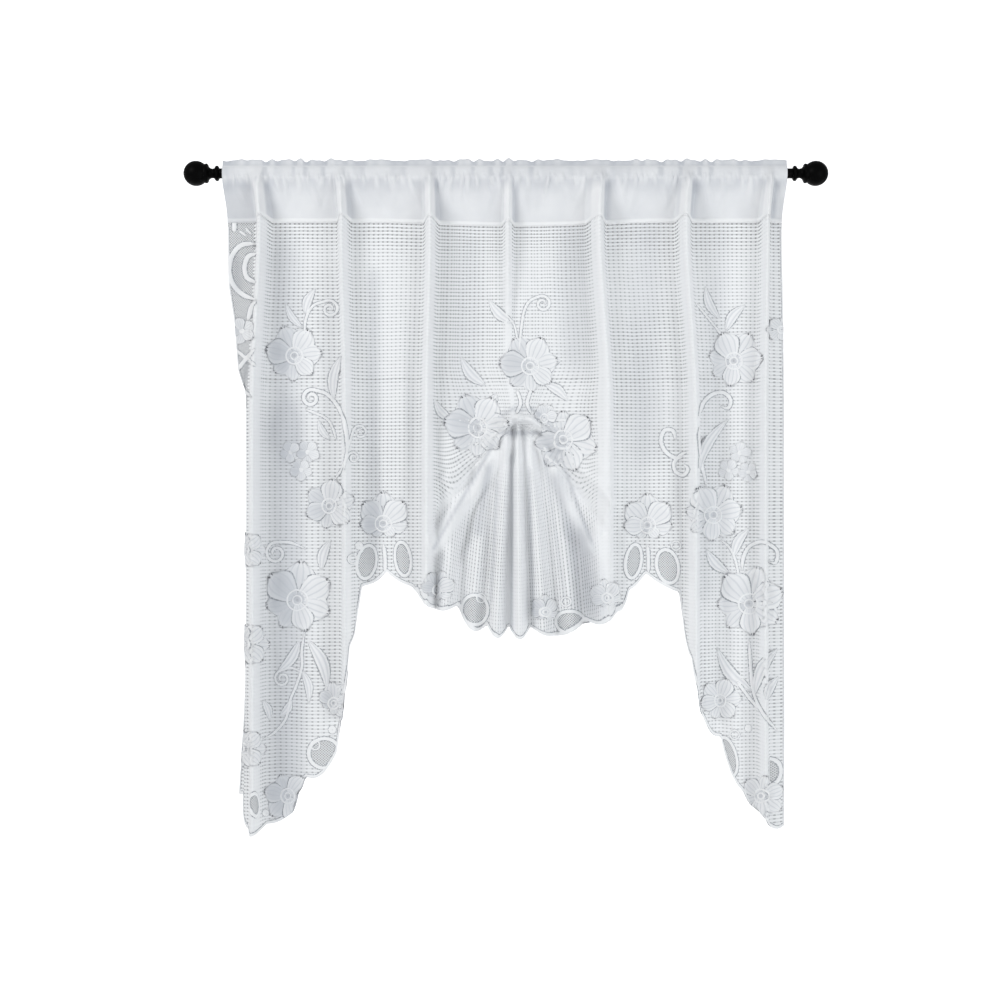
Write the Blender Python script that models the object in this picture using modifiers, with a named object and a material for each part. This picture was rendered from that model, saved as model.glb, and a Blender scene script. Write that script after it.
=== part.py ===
"""A lace swag and tail drape hanging by its rod pocket from a slim metal curtain rod.

X runs along the rod, Z is up, and the room side faces -Y. The origin is on the rod's axis at
mid-length. The lace is one cut piece: two long tails and, between them, a swag whose middle is
lifted in a gather. A plain woven band is folded over the rod and sewn to the lace's top.
"""
import math
from collections import namedtuple

import bmesh
import bpy

MM = 0.001

ROD_RADIUS = 6.8 * MM
ROD_HALF_LENGTH = 389.2 * MM
ROD_SIDES = 16
TURNED_SIDES = 20

LACE_THICKNESS = 1.6 * MM
BAND_THICKNESS = 1.5 * MM
SEAM_GAP = 0.5 * MM

SEAM_DROP = 67.0 * MM
SEAM_RISE_AT_FOLDS = 6.0 * MM
SEAM_SAG = 5.0 * MM
SEAM_SAG_REACH = 190.0 * MM
POCKET_FLARE = 0.017

ROWS_DOWN = 30
PANEL_COLUMN = 22.0 * MM
FAN_COLUMN = 9.0 * MM
CLOSEST_COLUMNS = 3.5 * MM

LEFT_EDGE = -378.0 * MM
RIGHT_EDGE = 375.0 * MM
LEFT_DRIFT = -9.0 * MM
RIGHT_DRIFT = 4.0 * MM
DRIFT_DROP = 260.0 * MM
EDGE_FREE_DROP = 90.0 * MM

# The gather: the rows of net between the upper and the lower gathered row are drawn up into the knot.
KNOT_X = 14.0 * MM
KNOT_UPPER_ROW = 326.0 * MM
KNOT_LOWER_ROW = 530.0 * MM
KNOT_LIFT = 178.0 * MM
LIFT_CROWN = 12.0 * MM
LIFT_REACH = 132.0 * MM
GATHER_REACH = 118.0 * MM
GATHER_TIGHTNESS = 0.58
GATHER_FADE_ABOVE = 75.0 * MM
GATHER_EASE = 1.2
LIP_DEPTH = 16.0 * MM
LIP_PLACE = 0.15
LIP_SPAN = 0.7
WING_DEPTH = 14.0 * MM
WING_PLACE = 0.5
WING_SPAN = 0.55
PLEAT_AT_KNOT = 0.5
PLEAT_SPREAD = 0.6

# A standing fold: its place at the seam and low down, the width of each flank, how far it stands
# forward at the seam and low down, and the drop at which it has its low depth.
Fold = namedtuple("Fold", "name top_x low_x left right depth low_depth low_drop")
FOLDS = (
    Fold("first", -331, -341, 9, 15, 38, 38, 500),
    Fold("second", -221, -216, 9, 12, 35, 38, 500),
    Fold("third", -102, -107, 11, 12, 35, 30, 600),
    Fold("fourth", 3, 3, 9, 9, 22, 0, 270),
    Fold("fifth", 126, 139, 20, 10, 38, 28, 600),
    Fold("sixth", 241, 254, 13, 13, 38, 38, 500),
    Fold("seventh", 352, 349, 10, 8, 32, 32, 500),
)

# A soft hollow or swell of the panels between the folds: its place at the seam, its half width, and
# how far it stands forward. A hollow has a depth below zero.
Sway = namedtuple("Sway", "x half_width depth")
SWAYS = (
    Sway(-296, 26, -7),
    Sway(-262, 24, 5),
    Sway(-184, 26, -8),
    Sway(-140, 22, 5),
    Sway(-56, 30, -6),
    Sway(70, 34, -6),
    Sway(170, 22, -8),
    Sway(208, 20, 5),
    Sway(284, 24, -9),
    Sway(320, 20, 5),
)

# A pleat of the fan: where it meets the hem, how far it stands forward there and its half width.
Pleat = namedtuple("Pleat", "name x depth half_width")
PLEATS = (
    Pleat("left roll", -76, 25, 15),
    Pleat("left soft pleat", -45, 15, 14),
    Pleat("left middle pleat", -13, 26, 14),
    Pleat("middle pleat", 18, 29, 13),
    Pleat("right middle pleat", 47, 23, 14),
    Pleat("right soft pleat", 79, 16, 16),
    Pleat("right roll", 110, 25, 14),
)

# A scallop of the hem: where it starts along the rod, how far below the rod's axis it starts, and
# how far its lobe hangs below the straight line to the next start.
Scallop = namedtuple("Scallop", "x drop lobe")
HEM = (
    Scallop(-374, 845, 26),
    Scallop(-325, 883, 4),
    Scallop(-291, 869, 5),
    Scallop(-281, 836, 6),
    Scallop(-272, 818, 14),
    Scallop(-230, 786, 2),
    Scallop(-224, 742, 6),
    Scallop(-217, 718, 4),
    Scallop(-211, 640, 8),
    Scallop(-200, 588, 2),
    Scallop(-196, 560, 5),
    Scallop(-162, 540, 3),
    Scallop(-128, 560, 17),
    Scallop(-66, 586, 20),
    Scallop(-25, 612, 16),
    Scallop(4, 613, 16),
    Scallop(33, 615, 17),
    Scallop(110, 606, 9),
    Scallop(152, 594, 9),
    Scallop(168, 565, 3),
    Scallop(191, 543, 3),
    Scallop(236, 568, 4),
    Scallop(242, 612, 8),
    Scallop(250, 656, 8),
    Scallop(256, 692, 7),
    Scallop(268, 738, 9),
    Scallop(293, 765, 14),
    Scallop(322, 838, 7),
    Scallop(343, 862, 14),
    Scallop(380, 886, 0),
)

# How the free edges hang: drop below the rod's axis, place along the rod and distance behind it.
EdgePlace = namedtuple("EdgePlace", "drop x back")
LEFT_EDGE_PLACES = (
    EdgePlace(0, -378, 4),
    EdgePlace(150, -378, 7),
    EdgePlace(200, -371, 14),
    EdgePlace(265, -367, 20),
    EdgePlace(310, -353, 30),
    EdgePlace(420, -350, 34),
    EdgePlace(580, -354, 34),
    EdgePlace(760, -361, 26),
    EdgePlace(900, -368, 12),
)
RIGHT_EDGE_PLACES = (
    EdgePlace(0, 375, 2),
    EdgePlace(150, 377, 5),
    EdgePlace(310, 380, 9),
    EdgePlace(900, 380, 8),
)
LEFT_EDGE_STRIP = 38.0 * MM
RIGHT_EDGE_STRIP = 15.0 * MM

# A station on the band's cross-section: height over the rod's axis, half the outer thickness, and how
# much of a standing fold's depth the front and the back layer take there.
Station = namedtuple("Station", "height half front back")
BAND_STATIONS = (
    Station(-42, 3.2, 0.62, 0.60),
    Station(-21, 7.4, 0.30, 0.14),
    Station(-7, 10.2, 0.16, 0.0),
    Station(3, 9.8, 0.10, 0.0),
    Station(9, 3.0, 0.07, 0.03),
)
BAND_END_HALF = 1.9 * MM
HEADER_HEIGHT = 18.0 * MM
HEADER_RUFFLE = 1.6 * MM
HEADER_WAVE = 11.0 * MM
GATHER_DEPTH = 2.6 * MM
GATHER_WAVE = 8.0 * MM

# A ring on the turned end: distance from the rod's middle and radius.
Ring = namedtuple("Ring", "along radius")
FINIAL_RINGS = (
    Ring(406.6, 13.5),
    Ring(404.3, 11.5),
    Ring(402.0, 7.6),
    Ring(398.7, 6.4),
    Ring(395.6, 7.2),
    Ring(394.0, 10.2),
    Ring(390.9, 10.2),
    Ring(389.5, 8.0),
)
BALL_CENTRE = 421.0 * MM
BALL_RADIUS = 17.0 * MM
BALL_COLLAR_ANGLE = math.radians(132)
BALL_STEPS = 9


def clear_scene():
    """Remove whatever the file holds."""
    for item in list(bpy.data.objects):
        bpy.data.objects.remove(item, do_unlink=True)


def smooth(t):
    """An S-shaped step from 0 to 1."""
    t = min(max(t, 0.0), 1.0)
    return t * t * (3.0 - 2.0 * t)


def hump(t):
    """A rounded ridge: 1 at t = 0, 0 from t = 1 on."""
    t = min(abs(t), 1.0)
    return (1.0 - t * t) ** 2


def between(rows, key, value, place):
    """Read a table's column at a place between its rows."""
    if place <= getattr(rows[0], key) * MM:
        return getattr(rows[0], value) * MM
    for low, high in zip(rows, rows[1:]):
        start = getattr(low, key) * MM
        end = getattr(high, key) * MM
        if place <= end:
            part = (place - start) / (end - start)
            return (getattr(low, value) * (1.0 - part) + getattr(high, value) * part) * MM
    return getattr(rows[-1], value) * MM


def fold_share(fold, across):
    """How much of a standing fold's depth a column takes."""
    offset = across - fold.top_x * MM
    flank = fold.left if offset < 0 else fold.right
    return hump(offset / (flank * MM))


def drift(across):
    """How far a column moves sideways between the seam and the hem."""
    places = [(LEFT_EDGE, LEFT_DRIFT)]
    places += [(fold.top_x * MM, (fold.low_x - fold.top_x) * MM) for fold in FOLDS]
    places += [(RIGHT_EDGE, RIGHT_DRIFT)]
    for (start, low), (end, high) in zip(places, places[1:]):
        if across <= end:
            part = smooth((across - start) / (end - start))
            return low + (high - low) * part
    return places[-1][1]


def hem_drop(across):
    """Drop of the hem where a column ends, with its scallop."""
    place = across + drift(across)
    for scallop, following in zip(HEM, HEM[1:]):
        start = scallop.x * MM
        end = following.x * MM
        if place <= end:
            part = min(max((place - start) / (end - start), 0.0), 1.0)
            straight = scallop.drop * (1.0 - part) + following.drop * part
            return (straight + scallop.lobe * math.sin(math.pi * part)) * MM
    return HEM[-1].drop * MM


def lift_share(across):
    """How much of the knot's lift a column takes: all at the knot, none past its reach."""
    away = abs(across - KNOT_X)
    part = min(max((away - LIFT_CROWN) / (LIFT_REACH - LIFT_CROWN), 0.0), 1.0)
    return 1.0 - 0.5 * part * (1.0 + part)


def lift(across, drop):
    """How far the gather raises a point of the lace."""
    rows = (drop - KNOT_UPPER_ROW) / (KNOT_LOWER_ROW - KNOT_UPPER_ROW)
    return KNOT_LIFT * lift_share(across) * min(max(rows, 0.0), 1.0)


def gather_share(drop, hem):
    """How tightly a row is drawn in: most at the knot, none well above it or at the hem."""
    if drop < KNOT_UPPER_ROW:
        return smooth(1.0 - (KNOT_UPPER_ROW - drop) / GATHER_FADE_ABOVE)
    if drop < KNOT_LOWER_ROW:
        return 1.0
    return max(0.0, 1.0 - (drop - KNOT_LOWER_ROW) / (hem - KNOT_LOWER_ROW)) ** GATHER_EASE


def edge_curl(across, drop):
    """Sideways and backward move of the strips beside the two free edges."""
    left = smooth((LEFT_EDGE + LEFT_EDGE_STRIP - across) / LEFT_EDGE_STRIP)
    right = smooth((across - RIGHT_EDGE + RIGHT_EDGE_STRIP) / RIGHT_EDGE_STRIP)
    left_x = between(LEFT_EDGE_PLACES, "drop", "x", drop) - LEFT_EDGE
    right_x = between(RIGHT_EDGE_PLACES, "drop", "x", drop) - RIGHT_EDGE
    back = left * between(LEFT_EDGE_PLACES, "drop", "back", drop)
    back += right * between(RIGHT_EDGE_PLACES, "drop", "back", drop)
    return left, right, left * left_x + right * right_x, back


def fold_depth(across, drop):
    """How far the standing folds carry a point forward."""
    forward = 0.0
    for fold in FOLDS:
        part = smooth((drop - SEAM_DROP) / (fold.low_drop * MM - SEAM_DROP))
        depth = fold.depth + (fold.low_depth - fold.depth) * part
        forward += depth * MM * fold_share(fold, across)
    return forward


def sway_depth(across, drop):
    """How far the panels' soft hollows and swells carry a point forward."""
    part = smooth((drop - SEAM_DROP) / DRIFT_DROP)
    forward = 0.0
    for sway in SWAYS:
        forward += sway.depth * MM * hump((across - sway.x * MM) / (sway.half_width * MM))
    return forward * part


def fan_depth(across, drop, hem):
    """How far the lip of the gather and the pleats of the fan carry a point forward."""
    rows = (drop - KNOT_UPPER_ROW) / (KNOT_LOWER_ROW - KNOT_UPPER_ROW)
    share = lift_share(across)
    lip = LIP_DEPTH * share * hump((rows - LIP_PLACE) / LIP_SPAN)
    wing = WING_DEPTH * 4.0 * share * (1.0 - share) * hump((rows - WING_PLACE) / WING_SPAN)
    fan = (drop - KNOT_LOWER_ROW) / (PLEAT_SPREAD * max(hem - KNOT_LOWER_ROW, SEAM_DROP))
    spread = PLEAT_AT_KNOT * smooth(rows) + (1.0 - PLEAT_AT_KNOT) * smooth(fan)
    pleats = sum(
        pleat.depth * MM * hump((across - pleat.x * MM) / (pleat.half_width * MM)) for pleat in PLEATS
    )
    return lip + wing + pleats * spread


def lace_point(across, drop, hem):
    """Where a point of the lace hangs, from its column and its drop in the unlifted cloth."""
    down = smooth((drop - SEAM_DROP) / DRIFT_DROP)
    left, right, side, back = edge_curl(across, drop)
    free = smooth((drop - SEAM_DROP) / EDGE_FREE_DROP)
    x = across + drift(across) * down * (1.0 - left) * (1.0 - right) + side * free
    x = KNOT_X + (x - KNOT_X) * (
        1.0 - GATHER_TIGHTNESS * gather_share(drop, hem) * hump((across - KNOT_X) / GATHER_REACH)
    )
    y = back * free - fold_depth(across, drop) - sway_depth(across, drop) - fan_depth(across, drop, hem)
    z = lift(across, drop) - drop
    return x, y, z


def seam_drop(across):
    """Drop of the seam between band and lace, a little less where a fold stands forward."""
    rise = max(fold_share(fold, across) for fold in FOLDS)
    sag = SEAM_SAG * hump((across - KNOT_X) / SEAM_SAG_REACH)
    return SEAM_DROP + sag - SEAM_RISE_AT_FOLDS * rise


def column_places():
    """Columns of the cloth's mesh: on the crests and feet of folds and pleats, wider ones between."""
    marks = [fold.top_x * MM for fold in FOLDS]
    extra = [pleat.x * MM for pleat in PLEATS]
    extra += [(pleat.x + side * pleat.half_width) * MM for pleat in PLEATS for side in (-1.0, 1.0)]
    extra += [(fold.top_x - fold.left * part) * MM for fold in FOLDS for part in (1.0, 0.5)]
    extra += [(fold.top_x + fold.right * part) * MM for fold in FOLDS for part in (1.0, 0.5)]
    for place in extra:
        if min(abs(place - mark) for mark in marks) > CLOSEST_COLUMNS:
            marks.append(place)
    marks = sorted(marks + [LEFT_EDGE, RIGHT_EDGE])
    places = [marks[0]]
    for start, end in zip(marks, marks[1:]):
        in_fan = abs(0.5 * (start + end) - KNOT_X) < LIFT_REACH
        width = FAN_COLUMN if in_fan else PANEL_COLUMN
        count = max(1, round((end - start) / width))
        places += [start + (end - start) * step / count for step in range(1, count + 1)]
    return places


def new_material(name, colour, roughness, metallic=0.0):
    """A plain finish."""
    material = bpy.data.materials.new(name)
    material.use_nodes = True
    shader = material.node_tree.nodes["Principled BSDF"]
    shader.inputs["Base Color"].default_value = (*colour, 1.0)
    shader.inputs["Roughness"].default_value = roughness
    shader.inputs["Metallic"].default_value = metallic
    material.diffuse_color = (*colour, 1.0)
    return material


def place_in(collection, name, mesh, material):
    """Put a mesh in the collection as a named object."""
    item = bpy.data.objects.new(name, mesh)
    mesh.materials.append(material)
    collection.objects.link(item)
    return item


def sheet_mesh(name, columns, rows, place, closed=False):
    """A grid of quads through place(column, row). A closed one joins its last row to its first."""
    mesh = bpy.data.meshes.new(name)
    shaped = bmesh.new()
    points = [[shaped.verts.new(place(column, row)) for row in range(rows)] for column in range(columns)]
    last = rows if closed else rows - 1
    for near, far in zip(points, points[1:]):
        for row in range(last):
            below = (row + 1) % rows
            shaped.faces.new((near[row], near[below], far[below], far[row]))
    shaped.to_mesh(mesh)
    shaped.free()
    mesh.shade_smooth()
    return mesh


def build_lace(collection, columns):
    """Both tails and the swag: one sheet of lace."""

    def place(column, row):
        across = columns[column]
        shown_hem = hem_drop(across)
        hem = shown_hem + KNOT_LIFT * lift_share(across)
        top = seam_drop(across) + SEAM_GAP
        drop = top + (hem - top) * row / ROWS_DOWN
        return lace_point(across, drop, hem)

    mesh = sheet_mesh("lace_panel", len(columns), ROWS_DOWN + 1, place)
    lace = place_in(collection, "lace_panel", mesh, new_material("white_lace", (0.88, 0.89, 0.91), 0.85))
    wall = lace.modifiers.new("cloth thickness", "SOLIDIFY")
    wall.thickness = LACE_THICKNESS
    wall.offset = 0.0
    return lace


def build_band(collection, columns):
    """The rod pocket with its small header: a strip folded over the rod and closed at the seam."""
    stations = len(BAND_STATIONS)
    around = 2 * (stations + 2)

    def place(column, row):
        across = columns[column]
        front = row < stations + 2
        step = stations + 1 - row if front else row - stations - 2
        side = -1.0 if front else 1.0
        ripple = 0.5 + 0.5 * math.sin(across / GATHER_WAVE) * math.cos(across / HEADER_WAVE)
        forward = fold_depth(across, SEAM_DROP)
        if step == 0:
            bottom = -seam_drop(across)
            return across, side * BAND_END_HALF - forward, bottom
        if step == stations + 1:
            wave = HEADER_RUFFLE * math.sin(across / GATHER_WAVE)
            height = HEADER_HEIGHT + HEADER_RUFFLE * math.sin(across / HEADER_WAVE)
            return across * (1.0 + POCKET_FLARE), side * BAND_END_HALF + wave, height
        station = BAND_STATIONS[step - 1]
        height = station.height * MM
        share = station.front if front else station.back
        flare = smooth(1.0 + height / SEAM_DROP)
        gather = GATHER_DEPTH * ripple * flare if front else 0.0
        y = side * station.half * MM - forward * share - gather
        return across * (1.0 + POCKET_FLARE * flare), y, height

    mesh = sheet_mesh("heading_band", len(columns), around, place, closed=True)
    band = place_in(collection, "heading_band", mesh, new_material("white_cloth", (0.90, 0.91, 0.93), 0.8))
    wall = band.modifiers.new("cloth thickness", "SOLIDIFY")
    wall.thickness = BAND_THICKNESS
    wall.offset = -1.0
    return band


def build_rod(collection, finish):
    """A plain round rod."""
    bpy.ops.mesh.primitive_cylinder_add(
        vertices=ROD_SIDES,
        radius=ROD_RADIUS,
        depth=2.0 * ROD_HALF_LENGTH,
        rotation=(0.0, math.radians(90), 0.0),
    )
    rod = bpy.context.object
    rod.name = "rod"
    rod.data.materials.append(finish)
    rod.data.shade_smooth()
    rod.data.set_sharp_from_angle(angle=math.radians(40))
    for home in list(rod.users_collection):
        home.objects.unlink(rod)
    collection.objects.link(rod)
    return rod


def build_finial(collection, name, side, finish):
    """A ball on a waisted neck, turned in one piece."""
    ball = [
        (
            BALL_RADIUS * math.sin(BALL_COLLAR_ANGLE * step / BALL_STEPS),
            BALL_CENTRE + BALL_RADIUS * math.cos(BALL_COLLAR_ANGLE * step / BALL_STEPS),
        )
        for step in range(BALL_STEPS + 1)
    ]
    neck = [(ring.radius * MM, ring.along * MM) for ring in FINIAL_RINGS]
    profile = ball + neck + [(0.0, neck[-1][1])]
    mesh = bpy.data.meshes.new(name)
    points = [(radius, 0.0, along) for radius, along in profile]
    mesh.from_pydata(points, [(at, at + 1) for at in range(len(points) - 1)], [])
    finial = place_in(collection, name, mesh, finish)
    finial.rotation_euler = (0.0, side * math.radians(90), 0.0)
    turn = finial.modifiers.new("turned", "SCREW")
    turn.steps = TURNED_SIDES
    turn.render_steps = TURNED_SIDES
    turn.use_merge_vertices = True
    turn.merge_threshold = 0.0001
    turn.use_smooth_shade = True
    return finial


def build():
    clear_scene()
    collection = bpy.data.collections.new("swag_and_tail_drape")
    bpy.context.scene.collection.children.link(collection)
    columns = column_places()
    build_lace(collection, columns)
    build_band(collection, columns)
    black_metal = new_material("black_metal", (0.012, 0.012, 0.013), 0.38, 0.6)
    build_rod(collection, black_metal)
    build_finial(collection, "finial_left", -1.0, black_metal)
    build_finial(collection, "finial_right", 1.0, black_metal)


build()
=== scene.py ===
# %% [markdown]
# A lace swag and tail drape on its rod.
#
# The solids of the frame say where each piece hangs. Here each piece gets its real surface: the lace
# becomes a thin net with dense flowers, the heading a gathered cotton band, and the rod a smooth tube
# with turned ends. The first cell loads the frame.

# %% Load the frame
import math
from collections import namedtuple

import bmesh
import bpy
import numpy as np
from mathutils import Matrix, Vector
from mathutils.kdtree import KDTree


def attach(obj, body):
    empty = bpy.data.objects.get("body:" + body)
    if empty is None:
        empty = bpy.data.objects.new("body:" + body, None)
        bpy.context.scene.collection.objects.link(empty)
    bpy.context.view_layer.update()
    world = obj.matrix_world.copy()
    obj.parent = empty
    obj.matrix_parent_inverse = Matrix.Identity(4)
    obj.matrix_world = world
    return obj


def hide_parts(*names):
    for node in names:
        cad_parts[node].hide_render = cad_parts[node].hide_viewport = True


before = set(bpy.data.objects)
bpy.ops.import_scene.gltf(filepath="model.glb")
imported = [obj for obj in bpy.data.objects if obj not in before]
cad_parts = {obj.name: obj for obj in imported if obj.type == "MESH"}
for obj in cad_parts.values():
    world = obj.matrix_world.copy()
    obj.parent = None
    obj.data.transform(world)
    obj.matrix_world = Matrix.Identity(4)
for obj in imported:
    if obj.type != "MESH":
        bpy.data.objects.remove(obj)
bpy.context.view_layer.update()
bpy.ops.object.select_all(action="DESELECT")

# %% [markdown]
# The sizes of the real drape. One length of lace hangs in seven standing folds. In the middle, the
# rows of net between two marked rows are drawn up into a knot, so the cloth below spreads like a fan.
# The tables have one row for each fold, pleat, soft hollow and scallop, all in millimetres.

# %% Sizes of the cloth
MM = 0.001

SEAM_DROP = 67.0 * MM
SEAM_RISE_AT_FOLDS = 6.0 * MM
SEAM_SAG = 5.0 * MM
SEAM_SAG_REACH = 190.0 * MM
SEAM_GAP = 0.5 * MM

LEFT_EDGE = -378.0 * MM
RIGHT_EDGE = 375.0 * MM
LEFT_DRIFT = -9.0 * MM
RIGHT_DRIFT = 4.0 * MM
DRIFT_DROP = 260.0 * MM
EDGE_FREE_DROP = 90.0 * MM
LEFT_EDGE_STRIP = 38.0 * MM
RIGHT_EDGE_STRIP = 15.0 * MM

KNOT_X = 14.0 * MM
KNOT_UPPER_ROW = 326.0 * MM
KNOT_LOWER_ROW = 530.0 * MM
KNOT_LIFT = 178.0 * MM
LIFT_CROWN = 12.0 * MM
LIFT_REACH = 132.0 * MM
GATHER_REACH = 118.0 * MM
GATHER_TIGHTNESS = 0.58
GATHER_FADE_ABOVE = 75.0 * MM
GATHER_EASE = 1.2
LIP_DEPTH = 16.0 * MM
LIP_PLACE = 0.15
LIP_SPAN = 0.7
WING_DEPTH = 14.0 * MM
WING_PLACE = 0.5
WING_SPAN = 0.55
PLEAT_AT_KNOT = 0.5
PLEAT_SPREAD = 0.6

Fold = namedtuple("Fold", "name top_x low_x left right depth low_depth low_drop")
FOLDS = (
    Fold("first", -331, -341, 9, 15, 38, 38, 500),
    Fold("second", -221, -216, 9, 12, 35, 38, 500),
    Fold("third", -102, -107, 11, 12, 35, 30, 600),
    Fold("fourth", 3, 3, 9, 9, 22, 0, 270),
    Fold("fifth", 126, 139, 20, 10, 38, 28, 600),
    Fold("sixth", 241, 254, 13, 13, 38, 38, 500),
    Fold("seventh", 352, 349, 10, 8, 32, 32, 500),
)

Sway = namedtuple("Sway", "x half_width depth")
SWAYS = (
    Sway(-296, 26, -7),
    Sway(-262, 24, 5),
    Sway(-184, 26, -8),
    Sway(-140, 22, 5),
    Sway(-56, 30, -6),
    Sway(70, 34, -6),
    Sway(170, 22, -8),
    Sway(208, 20, 5),
    Sway(284, 24, -9),
    Sway(320, 20, 5),
)

Pleat = namedtuple("Pleat", "name x depth half_width")
PLEATS = (
    Pleat("left roll", -76, 25, 15),
    Pleat("left soft pleat", -45, 15, 14),
    Pleat("left middle pleat", -13, 26, 14),
    Pleat("middle pleat", 18, 29, 13),
    Pleat("right middle pleat", 47, 23, 14),
    Pleat("right soft pleat", 79, 16, 16),
    Pleat("right roll", 110, 25, 14),
)

Scallop = namedtuple("Scallop", "x drop lobe")
HEM = (
    Scallop(-374, 845, 26),
    Scallop(-325, 883, 4),
    Scallop(-291, 869, 5),
    Scallop(-281, 836, 6),
    Scallop(-272, 818, 14),
    Scallop(-230, 786, 2),
    Scallop(-224, 742, 6),
    Scallop(-217, 718, 4),
    Scallop(-211, 640, 8),
    Scallop(-200, 588, 2),
    Scallop(-196, 560, 5),
    Scallop(-162, 540, 3),
    Scallop(-128, 560, 17),
    Scallop(-66, 586, 20),
    Scallop(-25, 612, 16),
    Scallop(4, 613, 16),
    Scallop(33, 615, 17),
    Scallop(110, 606, 9),
    Scallop(152, 594, 9),
    Scallop(168, 565, 3),
    Scallop(191, 543, 3),
    Scallop(236, 568, 4),
    Scallop(242, 612, 8),
    Scallop(250, 656, 8),
    Scallop(256, 692, 7),
    Scallop(268, 738, 9),
    Scallop(293, 765, 14),
    Scallop(322, 838, 7),
    Scallop(343, 862, 14),
    Scallop(380, 886, 0),
)

EdgePlace = namedtuple("EdgePlace", "drop x back")
LEFT_EDGE_PLACES = (
    EdgePlace(0, -378, 4),
    EdgePlace(150, -378, 7),
    EdgePlace(200, -371, 14),
    EdgePlace(265, -367, 20),
    EdgePlace(310, -353, 30),
    EdgePlace(420, -350, 34),
    EdgePlace(580, -354, 34),
    EdgePlace(760, -361, 26),
    EdgePlace(900, -368, 12),
)
RIGHT_EDGE_PLACES = (
    EdgePlace(0, 375, 2),
    EdgePlace(150, 377, 5),
    EdgePlace(310, 380, 9),
    EdgePlace(900, 380, 8),
)

# %% [markdown]
# How the cloth hangs, as functions. A point of the lace is named by its column, which is its place
# along the rod, and by its drop, which is how far down the unlifted cloth it lies. The functions
# carry that point forward on a fold, sideways where a column drifts, and up where the knot lifts it.
# They work on whole arrays, so a fine sheet of many thousand points takes a moment.


# %% Shapes of folds and humps
def smooth(t):
    """An S-shaped step from 0 to 1."""
    t = np.clip(t, 0.0, 1.0)
    return t * t * (3.0 - 2.0 * t)


def hump(t):
    """A rounded ridge: 1 at t = 0, 0 from t = 1 on."""
    t = np.minimum(np.abs(t), 1.0)
    return (1.0 - t * t) ** 2


def column_of(rows, name):
    """One column of a table, in metres."""
    return np.array([getattr(row, name) for row in rows]) * MM


def fold_share(fold, across):
    """How much of a standing fold's depth a column takes."""
    offset = across - fold.top_x * MM
    return hump(offset / (np.where(offset < 0, fold.left, fold.right) * MM))


def drift(across):
    """How far a column moves sideways between the seam and the hem."""
    places = np.concatenate(([LEFT_EDGE], column_of(FOLDS, "top_x"), [RIGHT_EDGE]))
    moves = np.concatenate(([LEFT_DRIFT], column_of(FOLDS, "low_x") - column_of(FOLDS, "top_x"), [RIGHT_DRIFT]))
    gap = np.clip(np.searchsorted(places, across, side="left") - 1, 0, len(places) - 2)
    part = smooth((across - places[gap]) / (places[gap + 1] - places[gap]))
    return moves[gap] + (moves[gap + 1] - moves[gap]) * part


def hem_drop(across):
    """Drop of the hem where a column ends, with its scallop."""
    place = across + drift(across)
    starts = column_of(HEM, "x")
    gap = np.clip(np.searchsorted(starts, place, side="left") - 1, 0, len(HEM) - 2)
    part = np.clip((place - starts[gap]) / (starts[gap + 1] - starts[gap]), 0.0, 1.0)
    drops = column_of(HEM, "drop")
    lobes = column_of(HEM, "lobe")
    return drops[gap] * (1.0 - part) + drops[gap + 1] * part + lobes[gap] * np.sin(math.pi * part)


def seam_drop(across):
    """Drop of the seam between band and lace, a little less where a fold stands forward."""
    rise = np.max([fold_share(fold, across) for fold in FOLDS], axis=0)
    sag = SEAM_SAG * hump((across - KNOT_X) / SEAM_SAG_REACH)
    return SEAM_DROP + sag - SEAM_RISE_AT_FOLDS * rise


# %% [markdown]
# The knot is the heart of the swag. Real lace is stitched through two rows about 200 mm apart and the
# stitches are pulled tight. Here the same thing is a lift that grows between the two rows, strongest
# under the knot and gone at the folds on either side, while the columns are drawn together there.


# %% The knot, the fan and the hanging point
def knot_rows(drop):
    """0 at the upper gathered row, 1 at the lower one."""
    return (drop - KNOT_UPPER_ROW) / (KNOT_LOWER_ROW - KNOT_UPPER_ROW)


def lift_share(across):
    """How much of the knot's lift a column takes."""
    part = np.clip((np.abs(across - KNOT_X) - LIFT_CROWN) / (LIFT_REACH - LIFT_CROWN), 0.0, 1.0)
    return 1.0 - 0.5 * part * (1.0 + part)


def gather_share(drop, hem):
    """How tightly a row is drawn in: most at the knot, none well above it or at the hem."""
    above = smooth(1.0 - (KNOT_UPPER_ROW - drop) / GATHER_FADE_ABOVE)
    below = np.clip(1.0 - (drop - KNOT_LOWER_ROW) / (hem - KNOT_LOWER_ROW), 0.0, 1.0) ** GATHER_EASE
    return np.where(drop < KNOT_UPPER_ROW, above, np.where(drop < KNOT_LOWER_ROW, 1.0, below))


def fold_depth(across, drop):
    """How far the standing folds carry a point forward."""
    forward = 0.0
    for fold in FOLDS:
        part = smooth((drop - SEAM_DROP) / (fold.low_drop * MM - SEAM_DROP))
        depth = fold.depth + (fold.low_depth - fold.depth) * part
        forward = forward + depth * MM * fold_share(fold, across)
    return forward


def sway_depth(across, drop):
    """How far the panels' soft hollows and swells carry a point forward."""
    swing = sum(sway.depth * MM * hump((across - sway.x * MM) / (sway.half_width * MM)) for sway in SWAYS)
    return swing * smooth((drop - SEAM_DROP) / DRIFT_DROP)


def pleat_depth(across):
    """How far the fan's pleats stand forward at the hem."""
    return sum(
        pleat.depth * MM * hump((across - pleat.x * MM) / (pleat.half_width * MM)) for pleat in PLEATS
    )


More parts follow.
